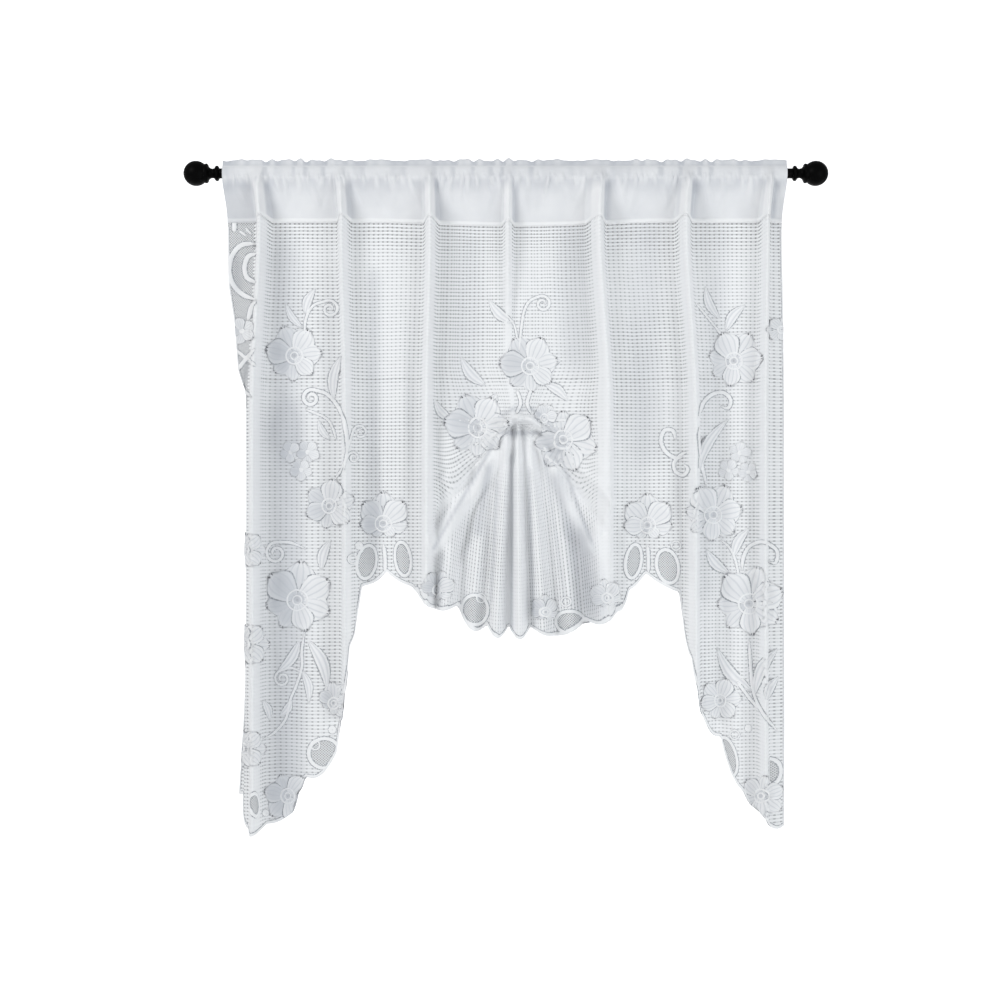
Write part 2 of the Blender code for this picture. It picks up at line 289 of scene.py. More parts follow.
def fan_depth(across, drop, hem):
    """How far the lip of the gather and the pleats of the fan carry a point forward."""
    rows = knot_rows(drop)
    share = lift_share(across)
    lip = LIP_DEPTH * share * hump((rows - LIP_PLACE) / LIP_SPAN)
    wing = WING_DEPTH * 4.0 * share * (1.0 - share) * hump((rows - WING_PLACE) / WING_SPAN)
    fan = (drop - KNOT_LOWER_ROW) / (PLEAT_SPREAD * np.maximum(hem - KNOT_LOWER_ROW, SEAM_DROP))
    spread = PLEAT_AT_KNOT * smooth(rows) + (1.0 - PLEAT_AT_KNOT) * smooth(fan)
    return lip + wing + pleat_depth(across) * spread


def lace_point(across, drop, hem):
    """Where points of the lace hang, from their columns and drops, as an array of rows x, y, z."""
    left = smooth((LEFT_EDGE + LEFT_EDGE_STRIP - across) / LEFT_EDGE_STRIP)
    right = smooth((across - RIGHT_EDGE + RIGHT_EDGE_STRIP) / RIGHT_EDGE_STRIP)
    left_drops = column_of(LEFT_EDGE_PLACES, "drop")
    right_drops = column_of(RIGHT_EDGE_PLACES, "drop")
    side = left * (np.interp(drop, left_drops, column_of(LEFT_EDGE_PLACES, "x")) - LEFT_EDGE)
    side = side + right * (np.interp(drop, right_drops, column_of(RIGHT_EDGE_PLACES, "x")) - RIGHT_EDGE)
    back = left * np.interp(drop, left_drops, column_of(LEFT_EDGE_PLACES, "back"))
    back = back + right * np.interp(drop, right_drops, column_of(RIGHT_EDGE_PLACES, "back"))
    free = smooth((drop - SEAM_DROP) / EDGE_FREE_DROP)
    down = smooth((drop - SEAM_DROP) / DRIFT_DROP)
    x = across + drift(across) * down * (1.0 - left) * (1.0 - right) + side * free
    draw = GATHER_TIGHTNESS * gather_share(drop, hem) * hump((across - KNOT_X) / GATHER_REACH)
    x = KNOT_X + (x - KNOT_X) * (1.0 - draw)
    y = back * free - fold_depth(across, drop) - sway_depth(across, drop) - fan_depth(across, drop, hem)
    z = KNOT_LIFT * lift_share(across) * np.clip(knot_rows(drop), 0.0, 1.0) - drop
    return np.stack([x, y, z], axis=-1)


# %% [markdown]
# A sheet of cloth is a grid. Its points come from a function, and its UV map holds each point's place
# on the flat cloth in metres, so that threads keep their size whatever the cloth does. Columns are
# spaced evenly along the cloth itself, not along the rod: that puts enough of them on the folds.


# %% Make a sheet from a grid of points
def mesh_object(name, points, faces, uv=None):
    """A mesh object at the origin from an array of points and a list of faces."""
    mesh = bpy.data.meshes.new(name)
    mesh.from_pydata(points.reshape(-1, 3).tolist(), [], faces)
    mesh.shade_smooth()
    item = bpy.data.objects.new(name, mesh)
    bpy.context.scene.collection.objects.link(item)
    if uv is not None:
        add_map(item, "cloth", uv)
    return item


def add_map(item, name, uv):
    """Store a flat place with each point of a mesh."""
    mesh = item.data
    layer = mesh.uv_layers.new(name=name)
    corners = np.zeros(len(mesh.loops), dtype=np.int32)
    mesh.loops.foreach_get("vertex_index", corners)
    layer.data.foreach_set("uv", uv.reshape(-1, 2)[corners].astype(np.float32).ravel())


def store(item, name, numbers):
    """Store a number with each point of a mesh."""
    layer = item.data.attributes.new(name, "FLOAT", "POINT")
    layer.data.foreach_set("value", np.asarray(numbers).astype(np.float32).ravel())


def grid_faces(columns, rows, closed=False):
    """Quads of a grid whose points run down each column in turn."""
    last = rows if closed else rows - 1
    faces = []
    for column in range(columns - 1):
        for row in range(last):
            low = (row + 1) % rows
            near = column * rows
            far = near + rows
            faces.append((near + row, near + low, far + low, far + row))
    return faces


def apply_modifier(item, kind, **settings):
    """Add a modifier, set it and apply it."""
    bpy.ops.object.select_all(action="DESELECT")
    item.select_set(True)
    bpy.context.view_layer.objects.active = item
    added = item.modifiers.new(kind.lower(), kind)
    for name, value in settings.items():
        setattr(added, name, value)
    bpy.ops.object.modifier_apply(modifier=added.name)
    item.select_set(False)


# %% Columns spaced along the cloth
FINE_STEPS = 6000
fine_across = np.linspace(LEFT_EDGE, RIGHT_EDGE, FINE_STEPS)
crest_run = -fold_depth(fine_across, 0.6 * SEAM_DROP + 0.2) - 0.7 * pleat_depth(fine_across)
crest_run = crest_run - sway_depth(fine_across, 1.0)
cloth_run = np.concatenate(([0.0], np.cumsum(np.hypot(np.diff(fine_across), np.diff(crest_run)))))
FLAT_WIDTH = float(cloth_run[-1])
print("flat width of the lace", round(FLAT_WIDTH, 3), "m")


def cloth_width_at(across):
    """Distance from the left edge along the flat cloth."""
    return np.interp(across, fine_across, cloth_run)


def even_columns(count):
    """Columns spaced evenly along the flat cloth."""
    return np.interp(np.linspace(0.0, FLAT_WIDTH, count), cloth_run, fine_across)

# %% [markdown]
# Small creases are what makes cloth look like cloth. Each row of this table is one soft ridge or
# hollow, drawn as a line on the flat cloth from one point to another, with its own half width
# and depth. They crowd beside the knot, where the drawn-up rows bunch, and at the free hems.

# %% Creases placed one by one
Crease = namedtuple("Crease", "x0 drop0 x1 drop1 half_width depth")
CREASES = (
    Crease(-92, 330, -22, 372, 9, 4.0),
    Crease(-96, 366, -24, 404, 9, -3.0),
    Crease(-94, 398, -30, 436, 10, 4.5),
    Crease(-90, 436, -30, 470, 9, -3.5),
    Crease(-88, 470, -34, 500, 10, 4.0),
    Crease(-84, 512, -44, 524, 9, -2.5),
    Crease(112, 336, 50, 366, 9, 3.5),
    Crease(116, 362, 52, 400, 10, -3.5),
    Crease(114, 404, 56, 438, 9, 4.5),
    Crease(112, 440, 58, 470, 10, -3.0),
    Crease(110, 476, 62, 502, 9, 4.0),
    Crease(-68, 300, -20, 334, 8, 2.5),
    Crease(96, 296, 46, 332, 8, 2.5),
    Crease(-14, 300, -8, 350, 6, -2.5),
    Crease(36, 298, 30, 350, 6, -2.5),
    Crease(-296, 110, -284, 330, 13, 2.2),
    Crease(-262, 200, -270, 470, 11, -2.4),
    Crease(-300, 420, -288, 640, 12, 2.6),
    Crease(-318, 560, -300, 760, 9, -2.2),
    Crease(-262, 560, -250, 730, 10, 2.4),
    Crease(-178, 90, -184, 280, 12, -2.0),
    Crease(-140, 180, -132, 420, 11, 2.2),
    Crease(-176, 330, -160, 500, 10, 2.0),
    Crease(-60, 90, -52, 250, 13, -2.2),
    Crease(56, 100, 66, 260, 13, 2.2),
    Crease(168, 100, 160, 320, 11, -2.2),
    Crease(206, 240, 198, 520, 10, 2.4),
    Crease(290, 120, 282, 380, 12, 2.2),
    Crease(312, 330, 318, 620, 10, -2.4),
    Crease(280, 520, 288, 720, 10, 2.6),
    Crease(330, 640, 322, 820, 8, -2.0),
    Crease(-345, 640, -352, 840, 8, 3.0),
    Crease(-306, 740, -300, 860, 9, -3.0),
    Crease(222, 470, 226, 560, 9, 2.5),
    Crease(-150, 470, -146, 548, 10, -2.5),
    Crease(176, 440, 172, 556, 9, -2.0),
)

FlatWave = namedtuple("FlatWave", "wave slope place depth")
FLUTTERS = (
    FlatWave(61, 0.10, 0.4, 1.5),
    FlatWave(37, -0.16, 1.9, 0.8),
    FlatWave(23, 0.05, 3.1, 0.35),
)
HEM_FLUTTER_REACH = 190.0 * MM
GATHER_RIPPLE = 1.3 * MM
GATHER_RIPPLES = 7.0


def crease_depth(across, drop):
    """How far the small creases carry a point forward."""
    forward = 0.0
    for crease in CREASES:
        run_x = (crease.x1 - crease.x0) * MM
        run_drop = (crease.drop1 - crease.drop0) * MM
        length = math.hypot(run_x, run_drop)
        from_x = across - crease.x0 * MM
        from_drop = drop - crease.drop0 * MM
        along = (from_x * run_x + from_drop * run_drop) / length
        aside = (from_x * run_drop - from_drop * run_x) / length
        taper = hump(along / (0.6 * length) - 0.83)
        forward = forward + crease.depth * MM * hump(aside / (crease.half_width * MM)) * taper
    return forward


def flutter_depth(across, drop, hem):
    """How far the soft waves of the free cloth and the ripples of the drawn-up rows reach."""
    loose = smooth(1.0 - (hem - drop) / HEM_FLUTTER_REACH)
    wave = 0.0
    for row in FLUTTERS:
        turn = 2.0 * math.pi * (across / MM + row.slope * drop / MM) / row.wave + row.place
        wave = wave + row.depth * MM * np.sin(turn)
    rows = knot_rows(drop)
    bunched = 4.0 * np.clip(rows, 0.0, 1.0) * (1.0 - np.clip(rows, 0.0, 1.0)) * lift_share(across)
    ripple = GATHER_RIPPLE * bunched * np.sin(2.0 * math.pi * GATHER_RIPPLES * rows + 30.0 * across)
    return wave * (0.25 + 0.75 * loose) * smooth((drop - SEAM_DROP) / DRIFT_DROP) + ripple


# Rolls stand forward along lines seen from the front; calm is how much a roll hides the net's holes, partly a painted
# highlight along it.
Roll = namedtuple("Roll", "x0 z0 x1 z1 half_width depth calm")
ROLLS = (
    Roll(-4, -372, -94, -502, 17, 14, 0.95),
    Roll(-12, -360, -82, -414, 9, 4, 0.3),
    Roll(-20, -400, -62, -520, 8, -7, 0.0),
    Roll(48, -369, 111, -506, 11, 11, 0.9),
    Roll(56, -357, 142, -444, 10, 6, 0.3),
    Roll(60, -376, 130, -482, 7, -5, 0.0),
    Roll(142, -448, 108, -510, 9, 5, 0.8),
    Roll(-20, -362, -2, -342, 7, 9, 0.95),
    Roll(-2, -342, 16, -333, 7, 10, 0.95),
    Roll(16, -333, 34, -336, 7, 10, 0.95),
    Roll(34, -336, 52, -350, 7, 9, 0.95),
)


# Painted shade: each row greys the cloth and its motifs along a line seen from the front.
Shade = namedtuple("Shade", "x0 z0 x1 z1 half_width strength")
SHADES = (
    Shade(-299, -120, -301, -350, 36, 0.60),
    Shade(-299, -350, -299, -850, 42, 0.85),
    Shade(-179, -145, -182, -520, 17, 0.45),
    Shade(-52, -105, -54, -300, 34, 0.40),
    Shade(90, -85, 95, -240, 36, 0.50),
    Shade(190, -80, 193, -360, 36, 0.50),
    Shade(292, -90, 272, -560, 24, 0.32),
    Shade(8, -384, 8, -625, 4, 0.80),
    Shade(32, -404, 36, -590, 4, 0.60),
    Shade(-12, -420, -20, -580, 4, 0.55),
    Shade(54, -392, 80, -575, 4, 0.55),
    Shade(98, -498, 114, -580, 30, 0.90),
    Shade(68, -417, 84, -485, 12, 0.80),
    Shade(-24, -403, -37, -485, 9, 0.90),
    Shade(-2, -353, 44, -353, 6, 0.80),
    Shade(-8, -331, 10, -321, 5, 0.60),
    Shade(10, -321, 36, -321, 5, 0.60),
    Shade(36, -322, 54, -334, 5, 0.55),
    Shade(-19, -372, -97, -508, 4, 0.95),
    Shade(70, -371, 114, -498, 4, 0.85),
    Shade(-366, -150, -368, -120, 12, 0.70),
    Shade(-356, -275, -352, -262, 9, 0.70),
)


def roll_part(points, roll):
    """How much of a roll a hung point takes. Rolls run between two points as seen from the front."""
    run_x = (roll.x1 - roll.x0) * MM
    run_z = (roll.z1 - roll.z0) * MM
    length = math.hypot(run_x, run_z)
    from_x = points[..., 0] - roll.x0 * MM
    from_z = points[..., 2] - roll.z0 * MM
    along = (from_x * run_x + from_z * run_z) / length
    aside = (from_x * run_z - from_z * run_x) / length
    past = np.maximum(np.maximum(-along, along - length), 0.0)
    return hump(np.hypot(aside / (roll.half_width * MM), past / (1.6 * roll.half_width * MM)))


def shade_at(points):
    """How much painted shade the cloth takes at hung points: broad soft hollows and a few sharp ones beside the rolls.
    """
    return np.minimum(sum(shade.strength * roll_part(points, shade) for shade in SHADES), 1.0)


def unlifted_hem(across):
    """Drop at which the flat cloth ends, before the knot draws it up."""
    return hem_drop(across) + KNOT_LIFT * lift_share(across)


def hanging(width, drop):
    """Where points of the flat lace hang. Width and drop are distances on the flat cloth."""
    across = np.interp(width, cloth_run, fine_across)
    hem = unlifted_hem(across)
    points = lace_point(across, drop, hem)
    points[..., 1] -= crease_depth(across, drop) + flutter_depth(across, drop, hem)
    points[..., 1] -= sum(roll.depth * MM * roll_part(points, roll) for roll in ROLLS)
    return points


def facing(width, drop):
    """The direction in which the front of the cloth faces at points of the flat lace."""
    step = 0.5 * MM
    sideways = hanging(width + step, drop) - hanging(width - step, drop)
    down = hanging(width, drop + step) - hanging(width, drop - step)
    normal = np.cross(down, sideways)
    return normal / np.maximum(np.linalg.norm(normal, axis=-1, keepdims=True), 1e-12)


# %% [markdown]
# The lace itself. Its hem isn't cut from a rectangle: every column simply ends at its own scallop.
# The same sheet carries the fine net inside the oval loops. A distance to the nearest loop is stored
# with each point, so that the net material can change its weave exactly at the loop's edge.

# %% Let the threads run as the cloth is drawn
KNOT_Z = -340.0 * MM
FAN_ANGLE = 42.0
MIDDLE_STRIP = 18.0 * MM
WING_FADE = 190.0 * MM
ROW_DIP_REACH = 70.0 * MM
WING_OUTER = 112.0 * MM
WING_INNER = 76.0 * MM
CONVERGE = 92.0 * MM
STRIP_WIDTH = 36.0 * MM
STRIP_DROP = 318.0 * MM


def threads(points, width, drop):
    """Where threads run: a map for panels and wings, a map for the fan, the fan's share and the calm."""
    across = np.interp(width, cloth_run, fine_across)
    from_x = points[..., 0] - KNOT_X
    below = KNOT_Z - points[..., 2]
    reach = np.hypot(from_x, below)
    angle = np.arctan2(np.abs(from_x), np.maximum(below, 1e-6))
    under = smooth(below / (14.0 * MM))
    inside = smooth((WING_OUTER - np.abs(from_x)) / (WING_OUTER - WING_INNER)) * under
    inside = inside * smooth((WING_FADE - reach) / (40.0 * MM))
    dip = (seam_drop(across) - SEAM_DROP) * smooth(1.0 - (drop - SEAM_DROP) / ROW_DIP_REACH)
    plain_drop = -points[..., 2] - dip
    wing_drop = -KNOT_Z + CONVERGE * (math.pi / 2 - angle)
    wing_width = np.interp(KNOT_X, fine_across, cloth_run) + np.sign(from_x) * reach
    knit_width = width + inside * (wing_width - width)
    knit_drop = inside * wing_drop + (1.0 - inside) * plain_drop
    bend = np.radians(FAN_ANGLE) - 0.22 * smooth((reach - 150.0 * MM) / (90.0 * MM))
    in_fan = (bend - angle) * reach
    # Calm hides the net's holes so the cloth reads plain white: partly because the net is bunched or seen edge-on on
    # fold crests, rolls and near the knot, partly as a painted highlight on the rolls and the arch.
    calm = 0.9 * hump(in_fan / (11.0 * MM)) * under * smooth((185.0 * MM - reach) / (40.0 * MM))
    calm = np.maximum(calm, 0.92 * smooth((125.0 * MM - reach) / (80.0 * MM)) * under * smooth(below / (0.55 * reach + 1e-6) - 0.6))
    middle = smooth((15.0 * MM - np.abs(points[..., 0] - MIDDLE_STRIP)) / (5.0 * MM))
    calm = np.maximum(calm, 0.65 * middle * smooth((below - 20.0 * MM) / (40.0 * MM)))
    for roll in ROLLS:
        calm = np.maximum(calm, roll.calm * smooth(1.6 * roll_part(points, roll)))
    for fold in FOLDS:
        calm = np.maximum(calm, 0.92 * smooth((fold_share(fold, across) - 0.20) / 0.40))
    knit = np.stack([knit_width, -knit_drop], axis=-1)
    fan_knit = np.stack([reach, -width], axis=-1)
    return knit, fan_knit, np.where(below > 0.0, in_fan, -1.0), calm


# %% Hang the lace
LACE_COLUMNS = 320
LACE_ROWS = 150
LACE_THICKNESS = 0.6 * MM

lace_across = even_columns(LACE_COLUMNS)
lace_top = seam_drop(lace_across) + SEAM_GAP
lace_hem = unlifted_hem(lace_across)
row_part = np.linspace(0.0, 1.0, LACE_ROWS)
lace_drop = lace_top[:, None] + (lace_hem - lace_top)[:, None] * row_part[None, :]
lace_width = np.repeat(cloth_width_at(lace_across)[:, None], LACE_ROWS, axis=1)
lace_grid = hanging(lace_width, lace_drop)
lace_knit, lace_fan_knit, lace_fan, lace_calm = threads(lace_grid, lace_width, lace_drop)
lace = mesh_object("lace", lace_grid, grid_faces(LACE_COLUMNS, LACE_ROWS), lace_knit)
add_map(lace, "fan", lace_fan_knit)
store(lace, "calm", lace_calm)
store(lace, "in_fan", lace_fan)
store(lace, "shade", shade_at(lace_grid))
FLAT_LENGTH = float(lace_drop.max() - lace_drop.min())
column_lengths = lace_hem - lace_top
column_steps = np.diff(cloth_width_at(lace_across))
FLAT_AREA = float(np.sum(0.5 * (column_lengths[1:] + column_lengths[:-1]) * column_steps))
print("flat lace", round(FLAT_WIDTH, 3), "by", round(FLAT_LENGTH, 3), "m, area", round(FLAT_AREA, 3))

# %% [markdown]
# The heading is a strip of plain cotton folded over the rod and stitched under it. The cloth is wider
# than the rod is long, so it bunches: a crinkled ruffle above the rod, short gathers below it, and
# wider soft creases down to the seam. Each gather is a ridge of its own size, none of them repeated.

# %% Gathers of the heading
Gather = namedtuple("Gather", "x half_width length depth lean")
gather_dice = np.random.default_rng(7)
GATHERS = []
gather_x = LEFT_EDGE + 5.0 * MM
while gather_x < RIGHT_EDGE - 5.0 * MM:
    size = gather_dice.uniform(2.2, 5.2) * MM
    long_one = gather_dice.random() < 0.28
    reach = gather_dice.uniform(26.0, 48.0) * MM if long_one else gather_dice.uniform(9.0, 26.0) * MM
    GATHERS.append(
        Gather(gather_x, size, reach, gather_dice.uniform(1.6, 4.6) * MM, gather_dice.uniform(-0.3, 0.3))
    )
    gather_x += gather_dice.uniform(1.2, 3.0) * size

SoftCrease = namedtuple("SoftCrease", "x0 z0 x1 z1 half_width depth")
BAND_CREASES = (
    SoftCrease(-362, -14, -344, -52, 7, 2.0),
    SoftCrease(-316, -12, -300, -44, 6, 1.6),
    SoftCrease(-286, -16, -296, -54, 8, -1.8),
    SoftCrease(-262, -14, -250, -50, 6, 1.8),
    SoftCrease(-238, -24, -258, -58, 5, -1.4),
    SoftCrease(-206, -12, -190, -48, 7, 2.0),
    SoftCrease(-176, -20, -160, -56, 8, -1.8),
    SoftCrease(-146, -12, -154, -46, 6, 1.6),
    SoftCrease(-124, -16, -112, -56, 6, 2.2),
    SoftCrease(-84, -12, -70, -46, 7, 1.8),
    SoftCrease(-60, -18, -44, -60, 9, -2.0),
    SoftCrease(-28, -12, -22, -48, 6, 1.8),
    SoftCrease(-10, -22, -26, -60, 5, -1.4),
    SoftCrease(18, -12, 30, -50, 7, 2.0),
    SoftCrease(52, -18, 44, -58, 8, -1.8),
    SoftCrease(76, -12, 92, -46, 7, 1.8),
    SoftCrease(104, -20, 88, -60, 6, 1.6),
    SoftCrease(150, -12, 162, -48, 7, 2.0),
    SoftCrease(184, -16, 172, -56, 8, -1.8),
    SoftCrease(206, -12, 220, -44, 6, 1.8),
    SoftCrease(228, -22, 216, -60, 6, -1.4),
    SoftCrease(266, -12, 280, -50, 7, 2.0),
    SoftCrease(300, -18, 290, -56, 8, -1.8),
    SoftCrease(322, -12, 332, -46, 6, 1.6),
    SoftCrease(360, -16, 366, -54, 5, 1.4),
)


def gather_forward(across, z):
    """How far gathers and creases carry the front of the heading forward."""
    forward = 0.0
    for gather in GATHERS:
        below = np.clip((-z - 4.0 * MM) / gather.length, 0.0, 1.0)
        aside = (across - gather.x - gather.lean * (-z)) / (gather.half_width * (1.0 + 0.9 * below))
        forward = forward + gather.depth * hump(aside) * (1.0 - smooth(below)) * smooth(-z / (6.0 * MM))
    for crease in BAND_CREASES:
        run_x = (crease.x1 - crease.x0) * MM
        run_z = (crease.z1 - crease.z0) * MM
        length = math.hypot(run_x, run_z)
        from_x = across - crease.x0 * MM
        from_z = z - crease.z0 * MM
        along = (from_x * run_x + from_z * run_z) / length
        aside = (from_x * run_z - from_z * run_x) / length
        taper = hump(along / (0.62 * length) - 0.8)
        forward = forward + crease.depth * MM * hump(aside / (crease.half_width * MM)) * taper
    return forward


def ruffle(across, rows):
    """Crinkles of the header above the rod: three waves of unlike length."""
    place = across / MM
    wobble = np.sin(place / 3.4 + 1.4 * np.sin(place / 23.0)) + 0.7 * np.sin(place / 2.1 + 2.0 * rows)
    gust = 0.6 + 0.4 * np.sin(place / 41.0 + 2.0)
    return wobble * gust + 0.8 * np.sin(place / 9.3 + 1.0) * (1.0 - 0.5 * gust)


# %% [markdown]
# The heading's cross-section, from the header down the front to the seam and up the back again. Each
# station names a height and how far the cloth stands off the rod's axis there. The front follows the
# lace's folds, which fade out towards the rod because the pocket is tight on it.

# %% Sew the heading
BAND_COLUMNS = 880
BAND_THICKNESS = 0.7 * MM
POCKET_FLARE = 0.017
POCKET_RADIUS = 8.3 * MM

Station = namedtuple("Station", "height half front crinkle")
STATIONS = (
    Station(17.6, 1.0, 0.0, 2.0),
    Station(16.2, 2.0, 0.0, 1.9),
    Station(13.4, 2.2, 0.0, 1.5),
    Station(10.6, 2.8, 0.0, 0.9),
    Station(8.8, 5.2, 0.0, 0.5),
    Station(6.6, 7.4, 0.02, 0.25),
    Station(3.6, 9.0, 0.06, 0.2),
    Station(0.0, 9.9, 0.12, 0.12),
    Station(-3.6, 9.6, 0.18, 0.1),
    Station(-6.8, 8.6, 0.24, 0.1),
    Station(-9.4, 8.1, 0.28, 0.0),
    Station(-13.0, 7.9, 0.34, 0.0),
    Station(-17.0, 7.4, 0.41, 0.0),
    Station(-21.0, 6.9, 0.48, 0.0),
    Station(-26.0, 6.2, 0.56, 0.0),
    Station(-31.0, 5.4, 0.64, 0.0),
    Station(-36.0, 4.6, 0.73, 0.0),
    Station(-41.0, 3.8, 0.82, 0.0),
    Station(-46.0, 3.1, 0.90, 0.0),
    Station(-51.0, 2.6, 0.96, 0.0),
    Station(-56.0, 2.3, 0.99, 0.0),
)
HEM_STRIP_HEIGHT = 5.6 * MM
HEM_STRIP_DEPTH = 1.1 * MM
BAND_END_HALF = 1.5 * MM


def band_row(across, height, half, front, crinkle, side):
    """One row of the heading. Side is -1 on the front and 1 on the back."""
    flare = smooth(1.0 + height / SEAM_DROP)
    crinkled = ruffle(across, 0.0 if side < 0 else 1.2)
    x = across * (1.0 + POCKET_FLARE * flare)
    z = height + np.zeros_like(across)
    if side < 0:
        z = z + 0.9 * MM * crinkle * crinkled
        forward = fold_depth(across, SEAM_DROP) * front + gather_forward(across, z)
    else:
        z = z + 0.9 * MM * crinkle * ruffle(across, 0.0)
        forward = fold_depth(across, SEAM_DROP) * front
    y = side * half - forward + 0.8 * MM * crinkle * crinkled
    if side > 0:
        y = np.maximum(y, np.sqrt(np.maximum(POCKET_RADIUS**2 - z**2, 0.0)))
    return np.stack([x, y, z], axis=-1)


def seam_row(across, above, out, side):
    """A row near the seam, so much above it and so far out from the cloth's middle."""
    y = side * out - fold_depth(across, SEAM_DROP)
    return np.stack([across * (1.0 + POCKET_FLARE * smooth(-above / SEAM_DROP)), y, above - seam_drop(across)], axis=-1)


def shrink(station, across):
    """A station's height, squeezed so that the last stations end above the hem strip."""
    low = STATIONS[-1].height * MM
    end = HEM_STRIP_HEIGHT + 1.5 * MM - seam_drop(across)
    return station.height * MM * np.where(station.height < 0, end / low, 1.0)


def band_painted_light_and_shade(across, z):
    """Painted light and shade on the heading: white crests, roll and hem strip, and painted shade on the flanks, in
    hollows, in gather valleys and at the left end.
    """
    crest = np.max([smooth((fold_share(fold, across) - 0.3) / 0.4) for fold in FOLDS], axis=0)
    flank = np.max([fold_share(fold, across - 9.0 * MM) for fold in FOLDS], axis=0) * (1.0 - crest)
    low = smooth((-z - 7.0 * MM) / (12.0 * MM))
    tone_and_painted_shade = 0.30 + 0.42 * flank * low - 0.34 * crest * low
    valley = 1.0 - np.clip(gather_forward(across, z) / (2.6 * MM), 0.0, 1.0)
    gathered = smooth((-z - 5.0 * MM) / (5.0 * MM)) * smooth((z + 34.0 * MM) / (22.0 * MM))
    tone_and_painted_shade = tone_and_painted_shade + 0.34 * valley * gathered
    on_roll = smooth((z + 7.0 * MM) / (4.0 * MM)) * smooth((9.0 * MM - z) / (3.0 * MM))
    tone_and_painted_shade = tone_and_painted_shade * (1.0 - on_roll) + on_roll * (0.36 + 0.40 * np.clip(-ruffle(across, 0.4) / 1.5, 0.0, 1.0))
    header = smooth((z - 8.0 * MM) / (3.0 * MM))
    wave = np.clip(0.5 - 0.5 * ruffle(across, 0.0), 0.0, 1.0)
    tone_and_painted_shade = tone_and_painted_shade * (1.0 - header) + header * (0.48 + 0.52 * wave)
    above_seam = z + seam_drop(across)
    tone_and_painted_shade = tone_and_painted_shade * smooth((above_seam - HEM_STRIP_HEIGHT + 0.6 * MM) / (0.8 * MM))
    return np.clip(tone_and_painted_shade + 0.35 * smooth((-334.0 * MM - across) / (8.0 * MM)) * low, 0.0, 1.0)


band_across = even_columns(BAND_COLUMNS)
band_rows = []
for station in STATIONS:
    height = shrink(station, band_across)
    band_rows.append(band_row(band_across, height, station.half * MM, station.front, station.crinkle, -1.0))
strip_out = BAND_END_HALF + HEM_STRIP_DEPTH
band_rows.append(seam_row(band_across, HEM_STRIP_HEIGHT, BAND_END_HALF + 0.4 * MM, -1.0))
band_rows.append(seam_row(band_across, HEM_STRIP_HEIGHT - 0.9 * MM, strip_out, -1.0))
band_rows.append(seam_row(band_across, 2.6 * MM, strip_out + 0.3 * MM, -1.0))
band_rows.append(seam_row(band_across, 0.7 * MM, strip_out, -1.0))
band_rows.append(seam_row(band_across, 0.25 * MM, BAND_END_HALF, -1.0))
band_rows.append(seam_row(band_across, 0.25 * MM, BAND_END_HALF, 1.0))
for station in reversed(STATIONS):
    height = shrink(station, band_across)
    band_rows.append(band_row(band_across, height, station.half * MM, station.front, station.crinkle, 1.0))
band_grid = np.stack(band_rows, axis=1)
ROWS_OF_BAND = band_grid.shape[1]
row_runs = np.linalg.norm(np.diff(band_grid, axis=1, append=band_grid[:, :1]), axis=-1).mean(axis=0)
band_run = np.concatenate(([0.0], np.cumsum(row_runs)[:-1]))
band_uv = np.stack(
    [
        np.repeat(cloth_width_at(band_across)[:, None], ROWS_OF_BAND, axis=1),
        np.repeat(band_run[None, :], BAND_COLUMNS, axis=0),
    ],
    axis=-1,
)
heading = mesh_object("heading", band_grid, grid_faces(BAND_COLUMNS, ROWS_OF_BAND, closed=True), band_uv)
# The heading's painted light and shade, stored with each point.
store(heading, "tone_and_painted_shade", band_painted_light_and_shade(np.repeat(band_across[:, None], ROWS_OF_BAND, axis=1), band_grid[..., 2]))
apply_modifier(heading, "SOLIDIFY", thickness=BAND_THICKNESS, offset=0.0)

# %% [markdown]
# Rod and ends. The rod is a cylinder with rounded rims. Each end is turned on a lathe: its half
# outline is drawn once as a chain of points and spun about the rod's axis, then smoothed.

# %% Turn the rod and its ends
ROD_RADIUS = 6.8 * MM
ROD_HALF_LENGTH = 389.2 * MM
ROD_SIDES = 64
QUARTER_TURN = math.pi / 2

bpy.ops.mesh.primitive_cylinder_add(
    vertices=ROD_SIDES, radius=ROD_RADIUS, depth=2 * ROD_HALF_LENGTH, end_fill_type="NGON",
    rotation=(0.0, QUARTER_TURN, 0.0),
)
rod = bpy.context.active_object
rod.name = "smooth_rod"
bpy.ops.object.transform_apply(location=True, rotation=True, scale=True)
apply_modifier(rod, "BEVEL", width=0.5 * MM, segments=2, limit_method="ANGLE")
rod.select_set(True)
bpy.ops.object.shade_smooth_by_angle(angle=math.radians(40))

Ring = namedtuple("Ring", "along radius")
BALL_CENTRE = 421.0 * MM
BALL_RADIUS = 17.0 * MM
BALL_COLLAR_ANGLE = math.radians(132)
BALL_STEPS = 22
COLLAR_RINGS = (
    Ring(406.9, 13.4),
    Ring(405.6, 13.1),
    Ring(404.5, 11.8),
    Ring(403.4, 9.0),
    Ring(402.0, 7.6),
    Ring(400.4, 6.7),
    Ring(398.7, 6.4),
    Ring(397.0, 6.6),
    Ring(395.8, 7.3),
    Ring(394.7, 9.4),
    Ring(393.7, 10.3),
    Ring(392.4, 10.6),
    Ring(391.2, 10.3),
    Ring(390.2, 9.2),
    Ring(389.5, 7.9),
)


